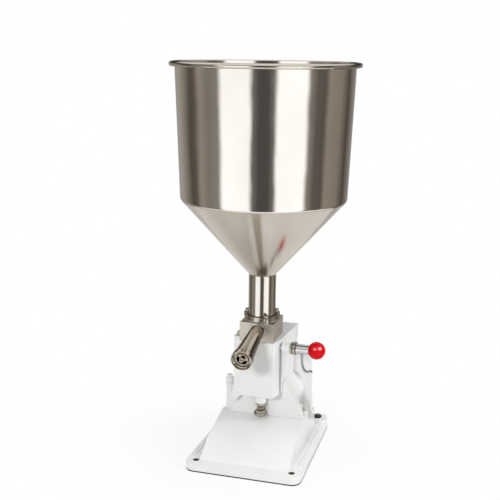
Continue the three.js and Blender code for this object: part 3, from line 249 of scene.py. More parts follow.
NICKEL = steel("turned_nickel", (0.46, 0.41, 0.35), (0.56, 0.51, 0.44), ROUND_LINES,
               roughness=0.1, uneven=0.03, grain=300, bump=0.02, rim=0.3)
KNOB_STEEL = steel("knob_steel", (0.4, 0.36, 0.31), (0.46, 0.42, 0.37), ROUND_LINES,
                   roughness=0.07, uneven=0.02, grain=300, bump=0.01, rim=0.2)
FLANGE = steel("flange_steel", (0.46, 0.41, 0.34), (0.56, 0.5, 0.43), ROUND_LINES,
               roughness=0.18, uneven=0.04, grain=300, bump=0.03, rim=0.4)
SCREW = steel("screw_steel", (0.5, 0.46, 0.4), (0.6, 0.56, 0.5), ROUND_LINES,
              roughness=0.3, uneven=0.08, grain=400, bump=0.06)
AGED = steel("aged_screw", (0.16, 0.14, 0.12), (0.26, 0.23, 0.2), ROUND_LINES,
             roughness=0.3, uneven=0.08, grain=400, bump=0.06, rim=0.5)
DARK = steel("blackened_steel", (0.03, 0.028, 0.026), (0.06, 0.055, 0.05), ROUND_LINES,
             roughness=0.38, uneven=0.08, grain=400, bump=0.08)
ZINC = steel("zinc_plate", (0.3, 0.34, 0.36), (0.42, 0.46, 0.48), NO_LINES,
             roughness=0.2, uneven=0.06, grain=300, bump=0.04, rim=0.2)
BRASS = steel("turned_brass", (0.62, 0.42, 0.16), (0.7, 0.5, 0.22), ROUND_LINES,
              roughness=0.28, uneven=0.07, grain=300, bump=0.05)
SPRING = steel("spring_wire", (0.42, 0.41, 0.4), (0.5, 0.49, 0.47), NO_LINES,
               roughness=0.28, uneven=0.07, grain=500, bump=0.05)
RED = plastic("red_knob", (0.6, 0.001, 0.003), (0.66, 0.001, 0.004), roughness=0.09)
BLACK = rubber("black_rubber", (0.012, 0.012, 0.012), (0.025, 0.025, 0.024))
SEAL = rubber("pale_seal", (0.6, 0.57, 0.5), (0.7, 0.67, 0.6))


# Meshes.


def place_object(name, mesh, mat):
    piece = bpy.data.objects.new(name, mesh)
    bpy.context.scene.collection.objects.link(piece)
    mesh.materials.clear()
    mesh.materials.append(mat)
    return piece


def settle(piece, body, slot, *nodes):
    """The piece rides on its body and stands for its CAD nodes. Its slot is not used."""
    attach(piece, body)
    if nodes:
        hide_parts(*nodes)
    return piece


def body_of(node_name):
    return frame["nodes"][node_name]["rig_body"]


def middle(node_name):
    """A node's middle and its lowest and highest corners, in mm."""
    low, high = (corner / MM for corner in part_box(node_name))
    return (low + high) / 2, low, high


def moved(x, y, z):
    return Matrix.Translation(Vector((x, y, z)) * MM)


def apply_modifiers(piece):
    """Keeps what the piece's modifiers make of its mesh, for good."""
    graph = bpy.context.evaluated_depsgraph_get()
    mesh = bpy.data.meshes.new_from_object(piece.evaluated_get(graph))
    piece.modifiers.clear()
    old = piece.data
    piece.data = mesh
    bpy.data.meshes.remove(old)


def sharpen(mesh):
    """Smooth faces, with the edges over the seam angle kept sharp."""
    work = bmesh.new()
    work.from_mesh(mesh)
    bmesh.ops.recalc_face_normals(work, faces=work.faces)
    for face in work.faces:
        face.smooth = True
    for edge in work.edges:
        edge.smooth = not (len(edge.link_faces) == 2 and edge.calc_face_angle(0) > SEAM_ANGLE)
    work.to_mesh(mesh)
    work.free()


def bevelled(piece, width, segments):
    """Rounds the piece's sharp edges for good, by their weights where it has any."""
    if not width:
        sharpen(piece.data)
        return piece
    modifier = piece.modifiers.new("edges", "BEVEL")
    modifier.width = width
    modifier.segments = segments
    modifier.limit_method = "WEIGHT" if piece.data.attributes.get("bevel_weight_edge") else "ANGLE"
    modifier.angle_limit = SEAM_ANGLE
    modifier.use_clamp_overlap = True
    modifier.miter_outer = "MITER_ARC"
    apply_modifiers(piece)
    sharpen(piece.data)
    level_faces(piece)
    return piece


def level_faces(piece):
    """Lets the large faces keep their own direction beside a rounded edge."""
    modifier = piece.modifiers.new("normals", "WEIGHTED_NORMAL")
    modifier.keep_sharp = True
    modifier.weight = FACE_WEIGHT
    apply_modifiers(piece)


def turned_mesh(name, profile, sides):
    """A profile of (radius, height) pairs turned about Z. A profile off the axis closes on itself."""
    work = bmesh.new()
    angles = [FULL_TURN * i / sides for i in range(sides)]
    rings = []
    for radius, height in profile:
        if radius < ON_AXIS:
            rings.append([work.verts.new((0, 0, height * MM))])
            continue
        rings.append([
            work.verts.new((radius * MM * math.cos(angle), radius * MM * math.sin(angle), height * MM))
            for angle in angles
        ])
    pairs = list(zip(rings, rings[1:]))
    if len(rings[0]) > 1 or len(rings[-1]) > 1:
        pairs.append((rings[-1], rings[0]))
    for low, high in pairs:
        for i in range(sides):
            j = (i + 1) % sides
            corners = []
            for vertex in (low[i % len(low)], low[j % len(low)], high[j % len(high)], high[i % len(high)]):
                if vertex not in corners:
                    corners.append(vertex)
            if len(corners) > 2:
                work.faces.new(corners)
    mesh = bpy.data.meshes.new(name)
    bmesh.ops.recalc_face_normals(work, faces=work.faces)
    work.to_mesh(mesh)
    work.free()
    return mesh


def turned(name, profile, mat, sides=TURN, edge=0.0, matrix=None):
    """A turned piece with rounded edges, made on Z and moved by the matrix."""
    piece = place_object(name, turned_mesh(name, profile, sides), mat)
    bevelled(piece, edge * MM, segments=2)
    if matrix is not None:
        piece.data.transform(matrix)
    return piece


def turn_node(node_name, profile, mat, slot, sides=TURN, edge=0.0, matrix=None):
    """A turned piece that stands for a CAD node."""
    piece = turned(node_name + "_dressed", profile, mat, sides, edge, matrix)
    return settle(piece, body_of(node_name), slot, node_name)


def weigh_edges(work, share_at):
    """Gives each sharp edge its share of the bevel's full width, by the place of its middle in mm."""
    weights = work.edges.layers.float.new("bevel_weight_edge")
    for edge in work.edges:
        if len(edge.link_faces) == 2 and edge.calc_face_angle(0) > SEAM_ANGLE:
            ends = [vertex.co / MM for vertex in edge.verts]
            edge[weights] = share_at((ends[0] + ends[1]) / 2)


def dress_node(node_name, mat, slot, edge, segments=2, share_at=None):
    """A copy of a CAD node with its edges rounded, all alike or by a share for each place."""
    mesh = frame["nodes"][node_name].data.copy()
    work = bmesh.new()
    work.from_mesh(mesh)
    bmesh.ops.remove_doubles(work, verts=work.verts, dist=CAD_WELD)
    bmesh.ops.dissolve_limit(work, angle_limit=FLAT_ANGLE, verts=work.verts, edges=work.edges)
    if share_at:
        weigh_edges(work, share_at)
    work.to_mesh(mesh)
    work.free()
    if mesh.attributes.get("custom_normal"):
        mesh.attributes.remove(mesh.attributes["custom_normal"])
    piece = bevelled(place_object(node_name + "_dressed", mesh, mat), edge * MM, segments)
    return settle(piece, body_of(node_name), slot, node_name)


def band(inner, outer, low, high):
    """The profile of a plain ring, or of a disc when its inner radius is zero."""
    return [(inner, low), (outer, low), (outer, high), (inner, high)]


def straight(first, last, steps):
    """Points between two ends, so that noise and bumps have something to shade."""
    return [
        (first[0] + (last[0] - first[0]) * k / steps, first[1] + (last[1] - first[1]) * k / steps)
        for k in range(1, steps)
    ]


# Socket head screws.

# The outline, as shares of the head's radius and height and of the shank's radius.
TIP_SHARE, TIP_RISE_SHARE = 0.8, 0.3
HEAD_FOOT_SHARE, HEAD_FOOT_RISE_SHARE = 0.96, 0.06
CROWN_SHARE, CROWN_START_SHARE = 0.93, 0.82
DOME_START_SHARE, DOME_STEPS = 0.3, 6
SOCKET_SHARE, SOCKET_DEPTH_SHARE = 0.52, 0.6
CUT_OVERRUN = 2

# Radius of the head, its height and the radius of the shank.
BASE_FRONT_SCREW = (4.7, 2.6, 3.0)
BASE_REAR_SCREW = (6.2, 4.6, 3.0)
HEAD_BOLT = (5.0, 6.0, 3.0)
BLOCK_SCREW = (4.2, 4.0, 2.5)
FLANGE_SCREW = (3.9, 4.2, 2.0)
CROSSHEAD_SCREW = (4.2, 4.4, 2.5)


def hexagon(work, radius, height):
    return [
        work.verts.new((radius * math.cos(angle), radius * math.sin(angle), height))
        for angle in (FULL_TURN * i / 6 for i in range(6))
    ]


def cut_socket(piece, radius, depth, top):
    """Sinks a hexagon socket in the top of a screw head, by a boolean that is then applied."""
    work = bmesh.new()
    low = hexagon(work, radius * MM, (top - depth) * MM)
    high = hexagon(work, radius * MM, (top + CUT_OVERRUN) * MM)
    work.faces.new(list(reversed(low)))
    work.faces.new(high)
    for i in range(6):
        j = (i + 1) % 6
        work.faces.new((low[i], low[j], high[j], high[i]))
    mesh = bpy.data.meshes.new("socket")
    work.to_mesh(mesh)
    work.free()
    cutter = bpy.data.objects.new("socket", mesh)
    bpy.context.scene.collection.objects.link(cutter)
    modifier = piece.modifiers.new("socket", "BOOLEAN")
    modifier.operation = "DIFFERENCE"
    modifier.object = cutter
    modifier.solver = "EXACT"
    bpy.context.view_layer.update()
    apply_modifiers(piece)
    bpy.data.objects.remove(cutter)
    bpy.data.meshes.remove(mesh)
    sharpen(piece.data)


def dome(head, height):
    """The outline of a domed head, up to its middle."""
    start = height * DOME_START_SHARE
    angles = [QUARTER_TURN * k / DOME_STEPS for k in range(DOME_STEPS)]
    points = [(head * math.cos(angle), start + (height - start) * math.sin(angle)) for angle in angles]
    return [*points, (0, height)]


def socket_screw(node_name, mat, sizes, length, matrix, slot, domed=False):
    """A socket head screw standing on the origin before it is moved to its place."""
    head, height, shank = sizes
    crown = [(head, height * CROWN_START_SHARE), (head * CROWN_SHARE, height), (0, height)]
    if domed:
        crown = dome(head, height)
    profile = [
        (0, -length), (shank * TIP_SHARE, -length), (shank, -length + shank * TIP_RISE_SHARE), (shank, 0),
        (head * HEAD_FOOT_SHARE, 0), (head, height * HEAD_FOOT_RISE_SHARE), *crown,
    ]
    piece = place_object(node_name + "_dressed", turned_mesh(node_name, profile, SMALL), mat)
    sharpen(piece.data)
    cut_socket(piece, head * SOCKET_SHARE, height * SOCKET_DEPTH_SHARE, height)
    piece.data.transform(matrix)
    settle(piece, body_of(node_name), slot, node_name)


def upright_screw(node_name, mat, sizes, slot="screw_steel", domed=False):
    """A socket head screw along Z whose head ends where its CAD node ends. Gives the place of its seat."""
    centre, low, high = middle(node_name)
    seat = high.z - sizes[1]
    matrix = moved(centre.x, centre.y, seat)
    socket_screw(node_name, mat, sizes, seat - low.z, matrix, slot, domed)
    return matrix


# Base and column.

RIM_EDGE = 2.4  # full rounding, on the rim of the base's flange
CASTING_EDGE = 1.4
BOLT_EDGE = 0.35
SEAT_REACH = 7  # edges this near a screw stay sharp
RIB_NEAR, RIB_FAR = 71, 82  # the ribs, from the middle to the side
RIB_FRONT, RIB_REAR = -75, 79
RIB_FOOT = 11
SOLE_TOP, FLANGE_TOP = 6, 20  # heights where the rounding changes
SOLE_SHARE, RAMP_SHARE = 0.3, 0.55
PAINTED_GLINT = (0, 2.6, 1.9, 3.4)  # a lighter disc in a dark rear screw's socket, a painted glint: inside, outside and heights over the seat

base_screws = [middle(f"base_screw_{row}_{side}")[0] for row in ROWS for side in SIDES]


def base_share(place):
    """How round an edge of the base is: most on the flange's rim, sharp on the ribs and the seats."""
    if any(math.hypot(place.x - screw.x, place.y - screw.y) < SEAT_REACH for screw in base_screws):
        return 0
    beside_ribs = RIB_NEAR < abs(place.x) < RIB_FAR and RIB_FRONT < place.y < RIB_REAR
    if beside_ribs and place.z > RIB_FOOT:
        return 0
    if place.z < SOLE_TOP:
        return SOLE_SHARE
    return 1.0 if place.z < FLANGE_TOP else RAMP_SHARE


dress_node("base_casting", WHITE, "white_paint", RIM_EDGE, segments=3, share_at=base_share)
dress_node("base_gasket", BLACK, "black_rubber", edge=0.3)
dress_node("column_casting", WHITE, "white_paint", CASTING_EDGE, segments=3)
dress_node("head_casting", WHITE, "white_paint", CASTING_EDGE, segments=3)
dress_node("column_peg", DARK, "dark_steel", edge=0.3)

for side in SIDES:
    upright_screw("base_screw_front_" + side, AGED, BASE_FRONT_SCREW)
    seat_place = upright_screw("base_screw_rear_" + side, DARK, BASE_REAR_SCREW, "dark_steel", domed=True)
    # A lighter steel disc in the dark socket is a painted glint.
    painted_glint = turned("rear_socket_painted_glint_" + side, band(*PAINTED_GLINT), SCREW, SMALL, edge=0.1, matrix=seat_place)
    settle(painted_glint, "frame", "screw_steel")

for name in ("column_stud_washer", "column_stud_bolt"):
    dress_node(name, WHITE, "white_paint", BOLT_EDGE)
dress_node("column_foot_bolt", SCREW, "screw_steel", BOLT_EDGE)
for row in ("lower", "upper"):
    for side in SIDES:
        name = f"head_bolt_{row}_{side}"
        centre, low, high = middle(name)
        seat = high.y - HEAD_BOLT[1]
        matrix = moved(centre.x, seat, centre.z) @ Matrix.Rotation(-QUARTER_TURN, 4, "X")
        socket_screw(name, SCREW, HEAD_BOLT, seat - low.y, matrix, "screw_steel")

# Head and valve block.

# The cap bolt's shank, and its head's outline as a radius and a height over its seat.
CAP_SHANK = 3.0
CAP_OUTLINE = [(3.0, 0), (4.2, 0), (4.2, 4.2), (3.95, 5.3), (3.2, 6.3), (1.8, 6.9), (0, 7.0)]

PACKING_BORE = 15.3
GLAND_RADIUS, PACKING_RADIUS = 19.6, 18.5

centre, low, high = middle("head_cap_bolt")
seat = high.z - CAP_OUTLINE[-1][1]
cap_profile = [(0, low.z - seat), (CAP_SHANK, low.z - seat), *CAP_OUTLINE]
turn_node("head_cap_bolt", cap_profile, SCREW, "screw_steel", SMALL, edge=0.25,
          matrix=moved(centre.x, centre.y, seat))

dress_node("valve_block", BRUSHED, "brushed_steel", edge=0.9, segments=3)
for name in ("block_gasket", "flange_gasket"):
    dress_node(name, SEAL, "seal_rubber", edge=0.15, segments=1)
for row in ROWS:
    for side in SIDES:
        upright_screw(f"block_screw_{row}_{side}", SCREW, BLOCK_SCREW)
dress_node("neck_flange", FLANGE, "brushed_steel", edge=0.7, segments=3)
for k in (1, 2, 3):
    upright_screw(f"flange_screw_{k}", SCREW, FLANGE_SCREW)


def ring(node_name, mat, slot, radius, edge):
    """A ring round the plunger, as high as its CAD node."""
    _, low, high = middle(node_name)
    turn_node(node_name, band(PACKING_BORE, radius, low.z, high.z), mat, slot, edge=edge)


ring("plunger_gland", BRASS, "brass", GLAND_RADIUS, edge=0.3)
ring("packing_ring_1", SEAL, "seal_rubber", PACKING_RADIUS, edge=0.6)
ring("packing_ring_2", SEAL, "seal_rubber", PACKING_RADIUS, edge=0.6)

# Hopper.

SHEET = 1.2
NECK, NECK_BORE = 20.3, 18.8
WALL_TOP, WALL_FOOT = 129.4, 122.2  # radii
KNUCKLE = 6.0  # outer radius of the bend between the wall and the cone
KNUCKLE_STEPS, WALL_STEPS, CONE_STEPS, NECK_STEPS, BEAD_STEPS = 10, 12, 10, 8, 24
ANGLE_ROUNDS = 9  # of working out the cone's angle and its top from each other

_, wall_low, wall_high = middle("hopper_wall")
_, cone_low, cone_high = middle("hopper_cone")
_, neck_low, neck_high = middle("neck_pipe")
cone_top = WALL_FOOT
for _ in range(ANGLE_ROUNDS):
    cone_angle = math.atan2(cone_top - NECK, cone_high.z - cone_low.z)
    cone_top = WALL_FOOT - KNUCKLE * (1 - math.cos(cone_angle))
cone_sheet = SHEET / math.cos(cone_angle)  # the sheet's width where a level plane cuts it


def knuckle_arc(radius):
    """The bend between the wall and the cone, from the cone up."""
    centre_height = wall_low.z + KNUCKLE * math.sin(cone_angle)
    angles = [cone_angle * (1 - k / KNUCKLE_STEPS) for k in range(KNUCKLE_STEPS + 1)]
    return [
        (WALL_FOOT - KNUCKLE + radius * math.cos(angle), centre_height - radius * math.sin(angle))
        for angle in angles
    ]


outer_arc = knuckle_arc(KNUCKLE)
inner_arc = knuckle_arc(KNUCKLE - SHEET)
wall_end = (WALL_TOP, wall_high.z)
wall_profile = [*outer_arc, *straight(outer_arc[-1], wall_end, WALL_STEPS), wall_end,
                (WALL_TOP - SHEET, wall_high.z), *reversed(inner_arc)]
turn_node("hopper_wall", wall_profile, HOPPER, "polished_steel", ROUND)

cone_start, cone_end = (NECK, cone_low.z), (cone_top, cone_high.z)
cone_profile = [(NECK - cone_sheet, cone_low.z), cone_start, *straight(cone_start, cone_end, CONE_STEPS),
                cone_end, (cone_top - cone_sheet, cone_high.z)]
turn_node("hopper_cone", cone_profile, CONE, "polished_steel", ROUND)

_, bead_low, bead_high = middle("rim_bead")
bead_radius = (bead_high.z - bead_low.z) / 2
bead_middle = bead_high.x - bead_radius
bead_height = (bead_low.z + bead_high.z) / 2
bead_profile = [
    (bead_middle + bead_radius * math.cos(angle), bead_height + bead_radius * math.sin(angle))
    for angle in (FULL_TURN * k / BEAD_STEPS for k in range(BEAD_STEPS))
]
turn_node("rim_bead", bead_profile, POLISHED, "polished_steel", ROUND)

neck_start, neck_end = (NECK, neck_low.z), (NECK, neck_high.z)
neck_profile = [(NECK_BORE, neck_low.z), neck_start, *straight(neck_start, neck_end, NECK_STEPS), neck_end,
                (NECK_BORE, neck_high.z)]
turn_node("neck_pipe", neck_profile, POLISHED, "polished_steel", edge=0.2)

# Inlet valve.

INLET_BORE, INLET_RADIUS, INLET_LIP = 7.6, 18.5, 16.5  # the seat's bore, its outside and its cone's top
INLET_CONE = 4.8  # depth of the seat's cone
INLET_BALL = 11.0
BALL_STEPS = 40


def ball_profile(radius, centre_height):
    angles = [math.pi * k / BALL_STEPS for k in range(BALL_STEPS + 1)]
    points = [(radius * math.sin(angle), centre_height - radius * math.cos(angle)) for angle in angles]
    points[0] = (0, points[0][1])
    points[-1] = (0, points[-1][1])
    return points


dress_node("inlet_cage", BRUSHED, "brushed_steel", edge=0.3)
_, low, high = middle("inlet_seat")
seat_profile = [(INLET_BORE, low.z), (INLET_RADIUS, low.z), (INLET_RADIUS, high.z), (INLET_LIP, high.z),
                (INLET_BORE, high.z - INLET_CONE)]
turn_node("inlet_seat", seat_profile, BRUSHED, "brushed_steel", edge=0.3)
turn_node("inlet_ball", ball_profile(INLET_BALL, middle("inlet_ball")[0].z), POLISHED, "polished_steel")
dress_node("inlet_spring", SPRING, "spring_steel", edge=0.0)

# Plunger and handle.

# The sizes without another word are radii.
PLUNGER, PLUNGER_CHAMFER = 15, 1.5
SHANK = 4.3  # the bore of what sits on the handle's rod
SLEEVE, SLEEVE_CHAMFER = 8, 1
COLLAR, COLLAR_GROOVE = 10, 2.2
ROD, ROD_CORE, ROD_LENGTH = 7.2, 4, 19.5
FIT_GAP = 0.3
KNOB, KNOB_BORE, KNOB_DEPTH, KNOB_STEPS = 13.3, 6.3, 12.3, 44
INSERT_RADIUS = 6

_, low, high = middle("plunger")
plunger_profile = [(0, low.z), (PLUNGER, low.z), (PLUNGER, high.z - PLUNGER_CHAMFER),
                   (PLUNGER - PLUNGER_CHAMFER, high.z), (0, high.z)]
turn_node("plunger", plunger_profile, POLISHED, "polished_steel", edge=0.3)
dress_node("crosshead", BRASS, "brass", edge=0.4)
_, low, high = middle("crosshead_screw")
seat = low.z + CROSSHEAD_SCREW[1]
socket_screw("crosshead_screw", SCREW, CROSSHEAD_SCREW, high.z - seat,
             moved(0, 0, seat) @ Matrix.Rotation(math.pi, 4, "X"), "screw_steel")

stem_height = middle("handle_rod")[0].z
along_x = moved(0, 0, stem_height) @ Matrix.Rotation(QUARTER_TURN, 4, "Y")
_, low, high = middle("stem_sleeve")
sleeve_profile = [(SHANK, low.x), (SLEEVE, low.x), (SLEEVE, high.x - SLEEVE_CHAMFER),
                  (SLEEVE - SLEEVE_CHAMFER, high.x), (SHANK, high.x)]
turn_node("stem_sleeve", sleeve_profile, WHITE, "white_paint", SMALL, edge=0.35, matrix=along_x)

# Along the collar, and how deep its groove is there.
collar_shares = [(0, 1), (0.05, 0.4), (0.12, 0.2), (0.26, 0.2), (0.34, 0.5), (0.38, 1), (0.48, 1),
                 (0.52, 0.45), (0.58, 0.05), (0.66, 0), (0.86, 0), (0.94, 0.1), (1, 0.4)]
_, low, high = middle("stem_collar")
collar_end = high.x
collar_length = high.x - low.x
collar_outline = [
    (COLLAR - COLLAR_GROOVE * depth, low.x + along * collar_length) for along, depth in collar_shares
]
collar_profile = [(SHANK, low.x), *collar_outline, (SHANK, high.x)]
turn_node("stem_collar", collar_profile, NICKEL, "chrome", SMALL, edge=0.12, matrix=along_x)

_, low, high = middle("handle_rod")
rod_start = collar_end + FIT_GAP
rod_end = rod_start + ROD_LENGTH
rod_profile = [(0, low.x), (ROD_CORE, low.x), (ROD_CORE, rod_start), (ROD, rod_start), (ROD, rod_end),
               (ROD_CORE, rod_end), (ROD_CORE, high.x), (0, high.x)]
turn_node("handle_rod", rod_profile, CHROME, "chrome", SMALL, edge=0.4, matrix=along_x)

knob_face = rod_end + FIT_GAP
knob_floor = knob_face + KNOB_DEPTH
knob_centre = knob_face + math.sqrt(KNOB**2 - ROD**2)
knob_sweep = math.pi - math.asin(ROD / KNOB)
knob_angles = [knob_sweep - knob_sweep * k / KNOB_STEPS for k in range(KNOB_STEPS)]
knob_outline = [(KNOB * math.sin(angle), knob_centre + KNOB * math.cos(angle)) for angle in knob_angles]
knob_profile = [(0, knob_floor), (KNOB_BORE, knob_floor), (KNOB_BORE, knob_face), *knob_outline,
                (0, knob_centre + KNOB)]
knob = turn_node("ball_knob", knob_profile, RED, "red_plastic", matrix=along_x)
_, low, high = middle("knob_insert")
insert_profile = band(SHANK, INSERT_RADIUS, low.x, high.x)
turn_node("knob_insert", insert_profile, BRASS, "brass", SMALL, edge=0.3, matrix=along_x)

# Hook.

WIRE = 1.9  # radius
WIRE_END_SHARE = 0.45  # how far its ends are rounded
WIRE_SIDES, WIRE_STEPS = 16, 8
HOOK_X, HOOK_SWEEP = 63.5, 14.5
HOOK_TOP, HOOK_DEPTH = -1.9, 31.9  # the wire's start from the stem's axis, and its depth below that

# Out to the side, and down.
hook_shares = [(0, 0), (0, 0.3), (0, 0.5), (0.05, 0.72), (0.2, 0.95), (0.5, 1.04), (0.8, 1.03), (1, 0.97)]


def wire_along(name, points, mat):
    """A wire with rounded ends through the points, on a smooth curve."""
    curve = bpy.data.curves.new(name, "CURVE")
    curve.dimensions = "3D"
    spline = curve.splines.new("NURBS")
    spline.points.add(len(points) - 1)
    for point, place in zip(spline.points, points):
        point.co = (*(c * MM for c in place), 1)
    spline.order_u = 3
    spline.use_endpoint_u = True
    spline.resolution_u = WIRE_STEPS
    curve.bevel_depth = WIRE * MM
    curve.bevel_resolution = WIRE_SIDES // 4
    curve.use_fill_caps = True
    source = bpy.data.objects.new(name, curve)
    bpy.context.scene.collection.objects.link(source)
    graph = bpy.context.evaluated_depsgraph_get()
    mesh = bpy.data.meshes.new_from_object(source.evaluated_get(graph))
    bpy.data.objects.remove(source)
    bpy.data.curves.remove(curve)
    work = bmesh.new()
    work.from_mesh(mesh)
    bmesh.ops.remove_doubles(work, verts=work.verts, dist=WELD)
    work.to_mesh(mesh)
    work.free()
    return bevelled(place_object(name, mesh, mat), WIRE * WIRE_END_SHARE * MM, segments=3)


hook_route = [
    (HOOK_X + out * HOOK_SWEEP, 0, stem_height + HOOK_TOP - down * HOOK_DEPTH) for out, down in hook_shares
]
settle(wire_along("hook_dressed", hook_route, ZINC), "plunger_carriage", "zinc", "hook")

# Adjusting screw.

# The sizes without another word are radii.
THREAD, THREAD_DEPTH, THREAD_PITCH = 5.7, 0.55, 1.25
CREST_START_SHARE, CREST_END_SHARE = 0.42, 0.58  # of the pitch
CORE, CORE_RISE = 4.8, 0.6  # the plain end in the knob, and how far it stands out of it
THREAD_RISE = 0.9  # where the thread starts over the knob
TIP, TIP_LENGTH = 4.6, 1.2
GRIP_BORE, GRIP_FLOOR = 5.1, 2

# Out from the knob's axis, and up.
grip_shares = [(0, 0), (0.45, 0), (0.5, 0.08), (0.72, 0.13), (0.84, 0.19), (0.92, 0.26), (0.975, 0.34),
               (1, 0.42), (1, 0.6), (0.965, 0.7), (0.9, 0.8), (0.76, 0.94), (0.7, 1)]


def threaded(low, high):
    """A zigzag of rings that reads as a fine thread."""
    count = int((high - low) / THREAD_PITCH)
    root = THREAD - THREAD_DEPTH
    points = []
    for k in range(count):
        start = low + (high - low) * k / count
        points += [(root, start), (THREAD, start + THREAD_PITCH * CREST_START_SHARE),
                   (THREAD, start + THREAD_PITCH * CREST_END_SHARE)]
    return [*points, (root, high)]


_, low, high = middle("adjusting_screw")
_, grip_low, grip_high = middle("adjusting_knob")
screw_profile = [(0, low.z), (CORE, low.z), (CORE, grip_high.z + CORE_RISE),
                 *threaded(grip_high.z + THREAD_RISE, high.z - TIP_LENGTH), (TIP, high.z), (0, high.z)]
turn_node("adjusting_screw", screw_profile, NICKEL, "chrome", SMALL)
dress_node("adjusting_lock_nut", SCREW, "screw_steel", edge=0.45)
grip_reach = max(grip_high.x, -grip_low.x)
grip_floor = grip_low.z + GRIP_FLOOR
grip_outline = [(grip_reach * out, grip_low.z + up * (grip_high.z - grip_low.z)) for out, up in grip_shares]
grip_profile = [*grip_outline, (GRIP_BORE, grip_high.z), (GRIP_BORE, grip_floor), (0, grip_floor)]
turn_node("adjusting_knob", grip_profile, KNOB_STEEL, "chrome", SMALL)

# Nozzle.

TILT = math.radians(13.4)
NOZZLE_ROOT = (0, -24.5, 200.0)
NOZZLE = moved(*NOZZLE_ROOT) @ Matrix.Rotation(QUARTER_TURN + TILT, 4, "X")

# Radii, and then distances along the nozzle from its root.
TUBE_BORE, TUBE_ROOT, TUBE_FLARE, TUBE_END, TUBE_MOUTH = 7.4, 10.2, 14.4, 12.4, 9.6
TUBE_START, TUBE_CONE, TUBE_STEP, TUBE_TOP = 2.4, 10, 73, 74.8
TUBE_STEPS = 10
ROOT_BORE, ROOT_SPIGOT = 6, 8
ROOT_LOW, ROOT_RISE, ROOT_TOP = -4.5, 0.6, 2.9

# Rings: the bore, the outside and where each starts and ends.
OUTLET_SEAT = (4.6, 7.1, 3.3, 7.3)
MOUTH_SEAL = (TUBE_MOUTH, 12.1, 75.1, 76.3)

# Outlines: pairs of a radius and a distance from the root.
INSERT_OUTLINE = [(7.6, 76.6), (12.6, 76.6), (12.6, 78.2), (10.2, 78.2), (10, 80.6), (9.4, 81.6),
                  (8.2, 81.6), (7.6, 80.8)]
HUB_OUTLINE = [(1.9, 45.6), (3.7, 45.6), (3.7, 81.4), (3.2, 82.4), (2.4, 82.4), (1.9, 81.6)]
BELL_OUTLINE = [(12.9, 73.3), (14.8, 73.3), (15.4, 74.6), (15.7, 76.7), (15.7, 84.2), (15.1, 84.8),
                (14.4, 84.8), (14.1, 84.4), (14.1, 81.3), (12.9, 80.1)]
POPPET_OUTLINE = [(0, 7.6), (4.6, 7.6), (6.2, 9.1), (6.2, 10.6), (1.5, 10.6), (1.5, 80.8), (1.1, 81.2),
                  (0, 81.2)]

ARMS, ARM_START, ARM_END, ARM_WIDTH = 3, 3.2, 8.4, 4.6
ARM_LOW, ARM_HIGH = 77.2, 79.4

dress_node("nozzle_root_ring", NOZZLE_STEEL, "polished_steel", edge=0.3)
tube_start, tube_step = (TUBE_ROOT, TUBE_START), (TUBE_FLARE, TUBE_STEP)
tube_profile = [(TUBE_BORE, TUBE_START), tube_start, *straight(tube_start, tube_step, TUBE_STEPS),
                tube_step, (TUBE_END, TUBE_STEP), (TUBE_END, TUBE_TOP), (TUBE_MOUTH, TUBE_TOP),
                (TUBE_BORE, TUBE_CONE)]
turn_node("nozzle_tube", tube_profile, NOZZLE_STEEL, "polished_steel", edge=0.2, matrix=NOZZLE)
root_profile = [(ROOT_BORE, ROOT_LOW), (ROOT_SPIGOT, ROOT_LOW), (ROOT_SPIGOT, 0), (TUBE_ROOT, ROOT_RISE),
                (TUBE_ROOT, ROOT_TOP), (ROOT_BORE, ROOT_TOP)]
tube_root = turned("nozzle_root_dressed", root_profile, NOZZLE_STEEL, matrix=NOZZLE)
settle(tube_root, "frame", "polished_steel")
turn_node("outlet_seat", band(*OUTLET_SEAT), BRUSHED, "brushed_steel", SMALL, edge=0.2, matrix=NOZZLE)
turn_node("nozzle_seal", band(*MOUTH_SEAL), SEAL, "seal_rubber", edge=0.2, matrix=NOZZLE)


def spokes(name, mat, matrix):
    """The flat arms that hold the hub in the nozzle's mouth."""
    work = bmesh.new()
    size = Matrix.Diagonal((ARM_END - ARM_START, ARM_WIDTH, ARM_HIGH - ARM_LOW, 1))
    shape = Matrix.Translation(((ARM_START + ARM_END) / 2, 0, (ARM_LOW + ARM_HIGH) / 2)) @ size
    for k in range(ARMS):
        made = bmesh.ops.create_cube(work, size=1.0)["verts"]
        turn = Matrix.Scale(MM, 4) @ Matrix.Rotation(FULL_TURN * k / ARMS, 4, "Z")
        bmesh.ops.transform(work, matrix=turn @ shape, verts=made)
    mesh = bpy.data.meshes.new(name)
    work.to_mesh(mesh)
    work.free()
    mesh.transform(matrix)
    return place_object(name, mesh, mat)


turn_node("nozzle_insert", INSERT_OUTLINE, FLANGE, "brushed_steel", edge=0.15, matrix=NOZZLE)
hub = turned("nozzle_hub_dressed", HUB_OUTLINE, NOZZLE_STEEL, SMALL, edge=0.15, matrix=NOZZLE)
settle(hub, "frame", "brushed_steel")
settle(spokes("nozzle_arms_dressed", VALVE_STEEL, NOZZLE), "frame", "brushed_steel")
turn_node("nozzle_bell", BELL_OUTLINE, NOZZLE_STEEL, "polished_steel", edge=0.25, matrix=NOZZLE)
turn_node("outlet_poppet", POPPET_OUTLINE, NOZZLE_STEEL, "polished_steel", SMALL, edge=0.2, matrix=NOZZLE)

# Camera.

CAMERA_PLACE = Vector((0.3497, -1.2705, 0.6162))  # metres
YAW, PITCH, ROLL = math.radians(16.22), math.radians(12.76), math.radians(-0.67)
FOCAL_PIXELS, PICTURE_PIXELS = 909.94, 500
SENSOR = 36
NEAR_CLIP = 0.01  # metres


